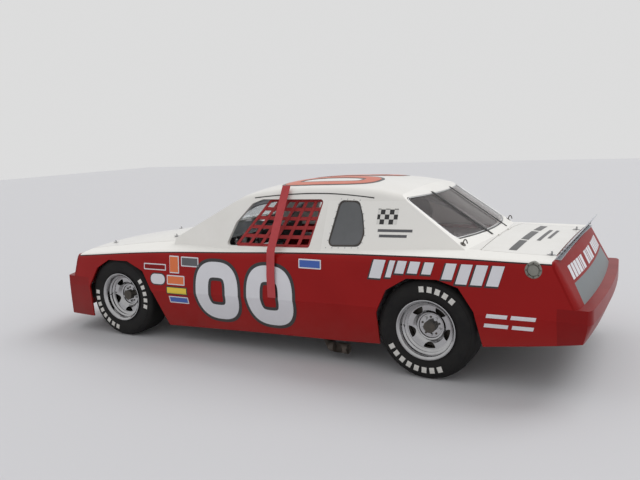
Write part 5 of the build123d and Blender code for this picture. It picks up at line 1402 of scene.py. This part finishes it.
class STOCKCAR_OT_cabin(bpy.types.Operator):
    """Seat pads, belts, dials, mirror and gear lever"""

    bl_idname = "stockcar.cabin"
    bl_label = "Cabin"

    def execute(self, context):
        for name, centre, size, turn in PADS:
            pad = cushion(name, centre, size, math.radians(turn), PAD_CHANNELS)
            give(pad, "chassis", "seat_cloth")
        belts = []
        for offset in (-BELT_OFFSET, BELT_OFFSET):
            line = [(x, DRIVER_Y + offset * share, z) for x, share, z in BELT_LINE]
            belts.append(ribbon("belt", line, (0, 1, 0), BELT_WIDTH, BELT_STEPS))
        belt = give(join("belts", belts), "chassis", "webbing")
        faces, bezels = [], []
        for y, z, radius in DIALS:
            foot, normal = touch("dashboard", (DIAL_START_X, y, z), (1, 0, 0))
            place = foot + normal * DIAL_DEPTH / 2
            faces.append(disc("face", place, radius * DIAL_FACE_SHARE, DIAL_DEPTH, normal, 32, 0.0005))
            turn = normal.to_track_quat("Z", "Y").to_euler()
            bezels.append(wire_ring(foot + normal * DIAL_DEPTH, radius * DIAL_RIM_SHARE, DIAL_WIRE, turn, 8))
        give(join("dial_faces", faces), "chassis", "dial_face")
        bezel = join("dial_bezels", bezels)
        smooth(bezel, 60.0)
        give(bezel, "chassis", "chrome")
        glass = block("mirror", *MIRROR, 0.006, 3)
        stalks = [rod("stalk", [(x, y, z) for x, z in STALK_LINE], STALK_RADIUS, False) for y in STALKS_Y]
        give(join("mirror", [glass, *stalks]), "chassis", "dark_glass")
        lever = rod("lever", LEVER_LINE, LEVER_RADIUS)
        knob = disc("knob", KNOB_PLACE, KNOB_RADIUS, KNOB_HEIGHT, KNOB_WAY, 24, KNOB_EDGE)
        give(join("gear_lever", [lever, knob]), "chassis", "rubber")
        return {"FINISHED"}


# Coil springs. Columns: x, y, low z, high z, turns.
COILS = [(1.537, 0.482, 0.238, 0.556, 7), (-1.137, 0.430, 0.294, 0.472, 5)]
COIL_RADIUS = 0.045
COIL_WIRE = 0.0068
COIL_STEPS = 10
DAMPER_RADIUS = 0.018


class STOCKCAR_OT_chassis(bpy.types.Operator):
    """Coil springs with their dampers"""

    bl_idname = "stockcar.chassis"
    bl_label = "Chassis"

    def execute(self, context):
        coils = []
        for x, y, low, high, turns in COILS:
            for _, side in SIDES:
                points = []
                for step in range(turns * COIL_STEPS + 1):
                    angle = 2 * math.pi * step / COIL_STEPS
                    rise = (high - low - 2 * COIL_WIRE) * step / (turns * COIL_STEPS)
                    points.append((
                        x + COIL_RADIUS * math.cos(angle), side * y + COIL_RADIUS * math.sin(angle),
                        low + COIL_WIRE + rise,
                    ))
                coils.append(rod("coil", points, COIL_WIRE, True, 2))
                coils.append(rod("damper", [(x, side * y, low), (x, side * y, high)], DAMPER_RADIUS, False))
        give(join("coil_springs", coils), "chassis", "red_paint", ["springs"])
        return {"FINISHED"}


CAMERA_PLACE = (-2.742, 4.955, 1.666)
CAMERA_AZIMUTH = math.radians(-150.96)
CAMERA_ELEVATION = math.radians(8.94)
CAMERA_ROLL = math.radians(-2.38)
KEY_TURN = (math.radians(32), math.radians(-22), 0)
KEY_SPREAD = math.radians(35)
FLOOR_SIZE = 60


class STOCKCAR_OT_studio(bpy.types.Operator):
    """Floor, soft light and the camera at the photograph's angle"""

    bl_idname = "stockcar.studio"
    bl_label = "Studio"

    def execute(self, context):
        studio = context.scene.stock_car_studio
        floor = start("studio_floor", bpy.ops.mesh.primitive_plane_add, size=FLOOR_SIZE, location=(0, 0, 0))
        floor.data.materials.append(
            finish("studio_floor", studio.floor, rough=0.75, mottle=(0.8, 0.0), dust=(-2.0, -1.0, 0.0))
        )
        world = bpy.data.worlds.new("studio_sky")
        context.scene.world = world
        world.use_nodes = True
        tree = world.node_tree
        fill(tree, tree.nodes["Background"], Color=(1.0, 1.0, 1.0, 1.0), Strength=studio.sky)
        bpy.ops.object.light_add(type="SUN", rotation=KEY_TURN)
        key = bpy.context.active_object
        key.name = "key_light"
        key.data.energy = studio.sun
        key.data.angle = KEY_SPREAD
        camera = bpy.data.objects.new("photo_camera", bpy.data.cameras.new("photo_camera"))
        context.scene.collection.objects.link(camera)
        context.scene.camera = camera
        camera.data.lens = studio.lens
        camera.data.sensor_width = 36
        camera.data.clip_end = 200
        ahead = Vector((
            -math.sin(CAMERA_AZIMUTH) * math.cos(CAMERA_ELEVATION),
            math.cos(CAMERA_AZIMUTH) * math.cos(CAMERA_ELEVATION),
            -math.sin(CAMERA_ELEVATION),
        ))
        level = ahead.cross(Vector((0, 0, 1))).normalized()
        up = level.cross(ahead)
        across = math.cos(CAMERA_ROLL) * level + math.sin(CAMERA_ROLL) * up
        upright = -math.sin(CAMERA_ROLL) * level + math.cos(CAMERA_ROLL) * up
        turn = Matrix((across, upright, -ahead)).transposed().to_4x4()
        camera.matrix_world = Matrix.Translation(CAMERA_PLACE) @ turn
        context.scene.view_settings.view_transform = "Standard"
        return {"FINISHED"}


OPERATORS = (
    STOCKCAR_OT_finishes,
    STOCKCAR_OT_wheels,
    STOCKCAR_OT_graphics,
    STOCKCAR_OT_trims,
    STOCKCAR_OT_nose,
    STOCKCAR_OT_net,
    STOCKCAR_OT_fittings,
    STOCKCAR_OT_cabin,
    STOCKCAR_OT_chassis,
    STOCKCAR_OT_studio,
)


class STOCKCAR_PT_panel(bpy.types.Panel):
    """The car's settings and steps, in the sidebar"""

    bl_idname = "STOCKCAR_PT_panel"
    bl_label = "Stock Car"
    bl_space_type = "VIEW_3D"
    bl_region_type = "UI"
    bl_category = "Stock Car"

    def draw(self, context):
        scene = context.scene
        for settings in (scene.stock_car_paint, scene.stock_car_wheels, scene.stock_car_studio):
            box = self.layout.box()
            for key in settings.__annotations__:
                box.prop(settings, key)
        for step in OPERATORS:
            self.layout.operator(step.bl_idname)


CLASSES = (StockCarPaint, StockCarWheels, StockCarStudio, *OPERATORS, STOCKCAR_PT_panel)


def register():
    for item in CLASSES:
        bpy.utils.register_class(item)
    bpy.types.Scene.stock_car_paint = bpy.props.PointerProperty(type=StockCarPaint)
    bpy.types.Scene.stock_car_wheels = bpy.props.PointerProperty(type=StockCarWheels)
    bpy.types.Scene.stock_car_studio = bpy.props.PointerProperty(type=StockCarStudio)


def unregister():
    del bpy.types.Scene.stock_car_studio
    del bpy.types.Scene.stock_car_wheels
    del bpy.types.Scene.stock_car_paint
    for item in reversed(CLASSES):
        bpy.utils.unregister_class(item)


def main():
    register()
    for step in OPERATORS:
        group, action = step.bl_idname.split(".")
        getattr(getattr(bpy.ops, group), action)()


if __name__ == "__main__":
    main()
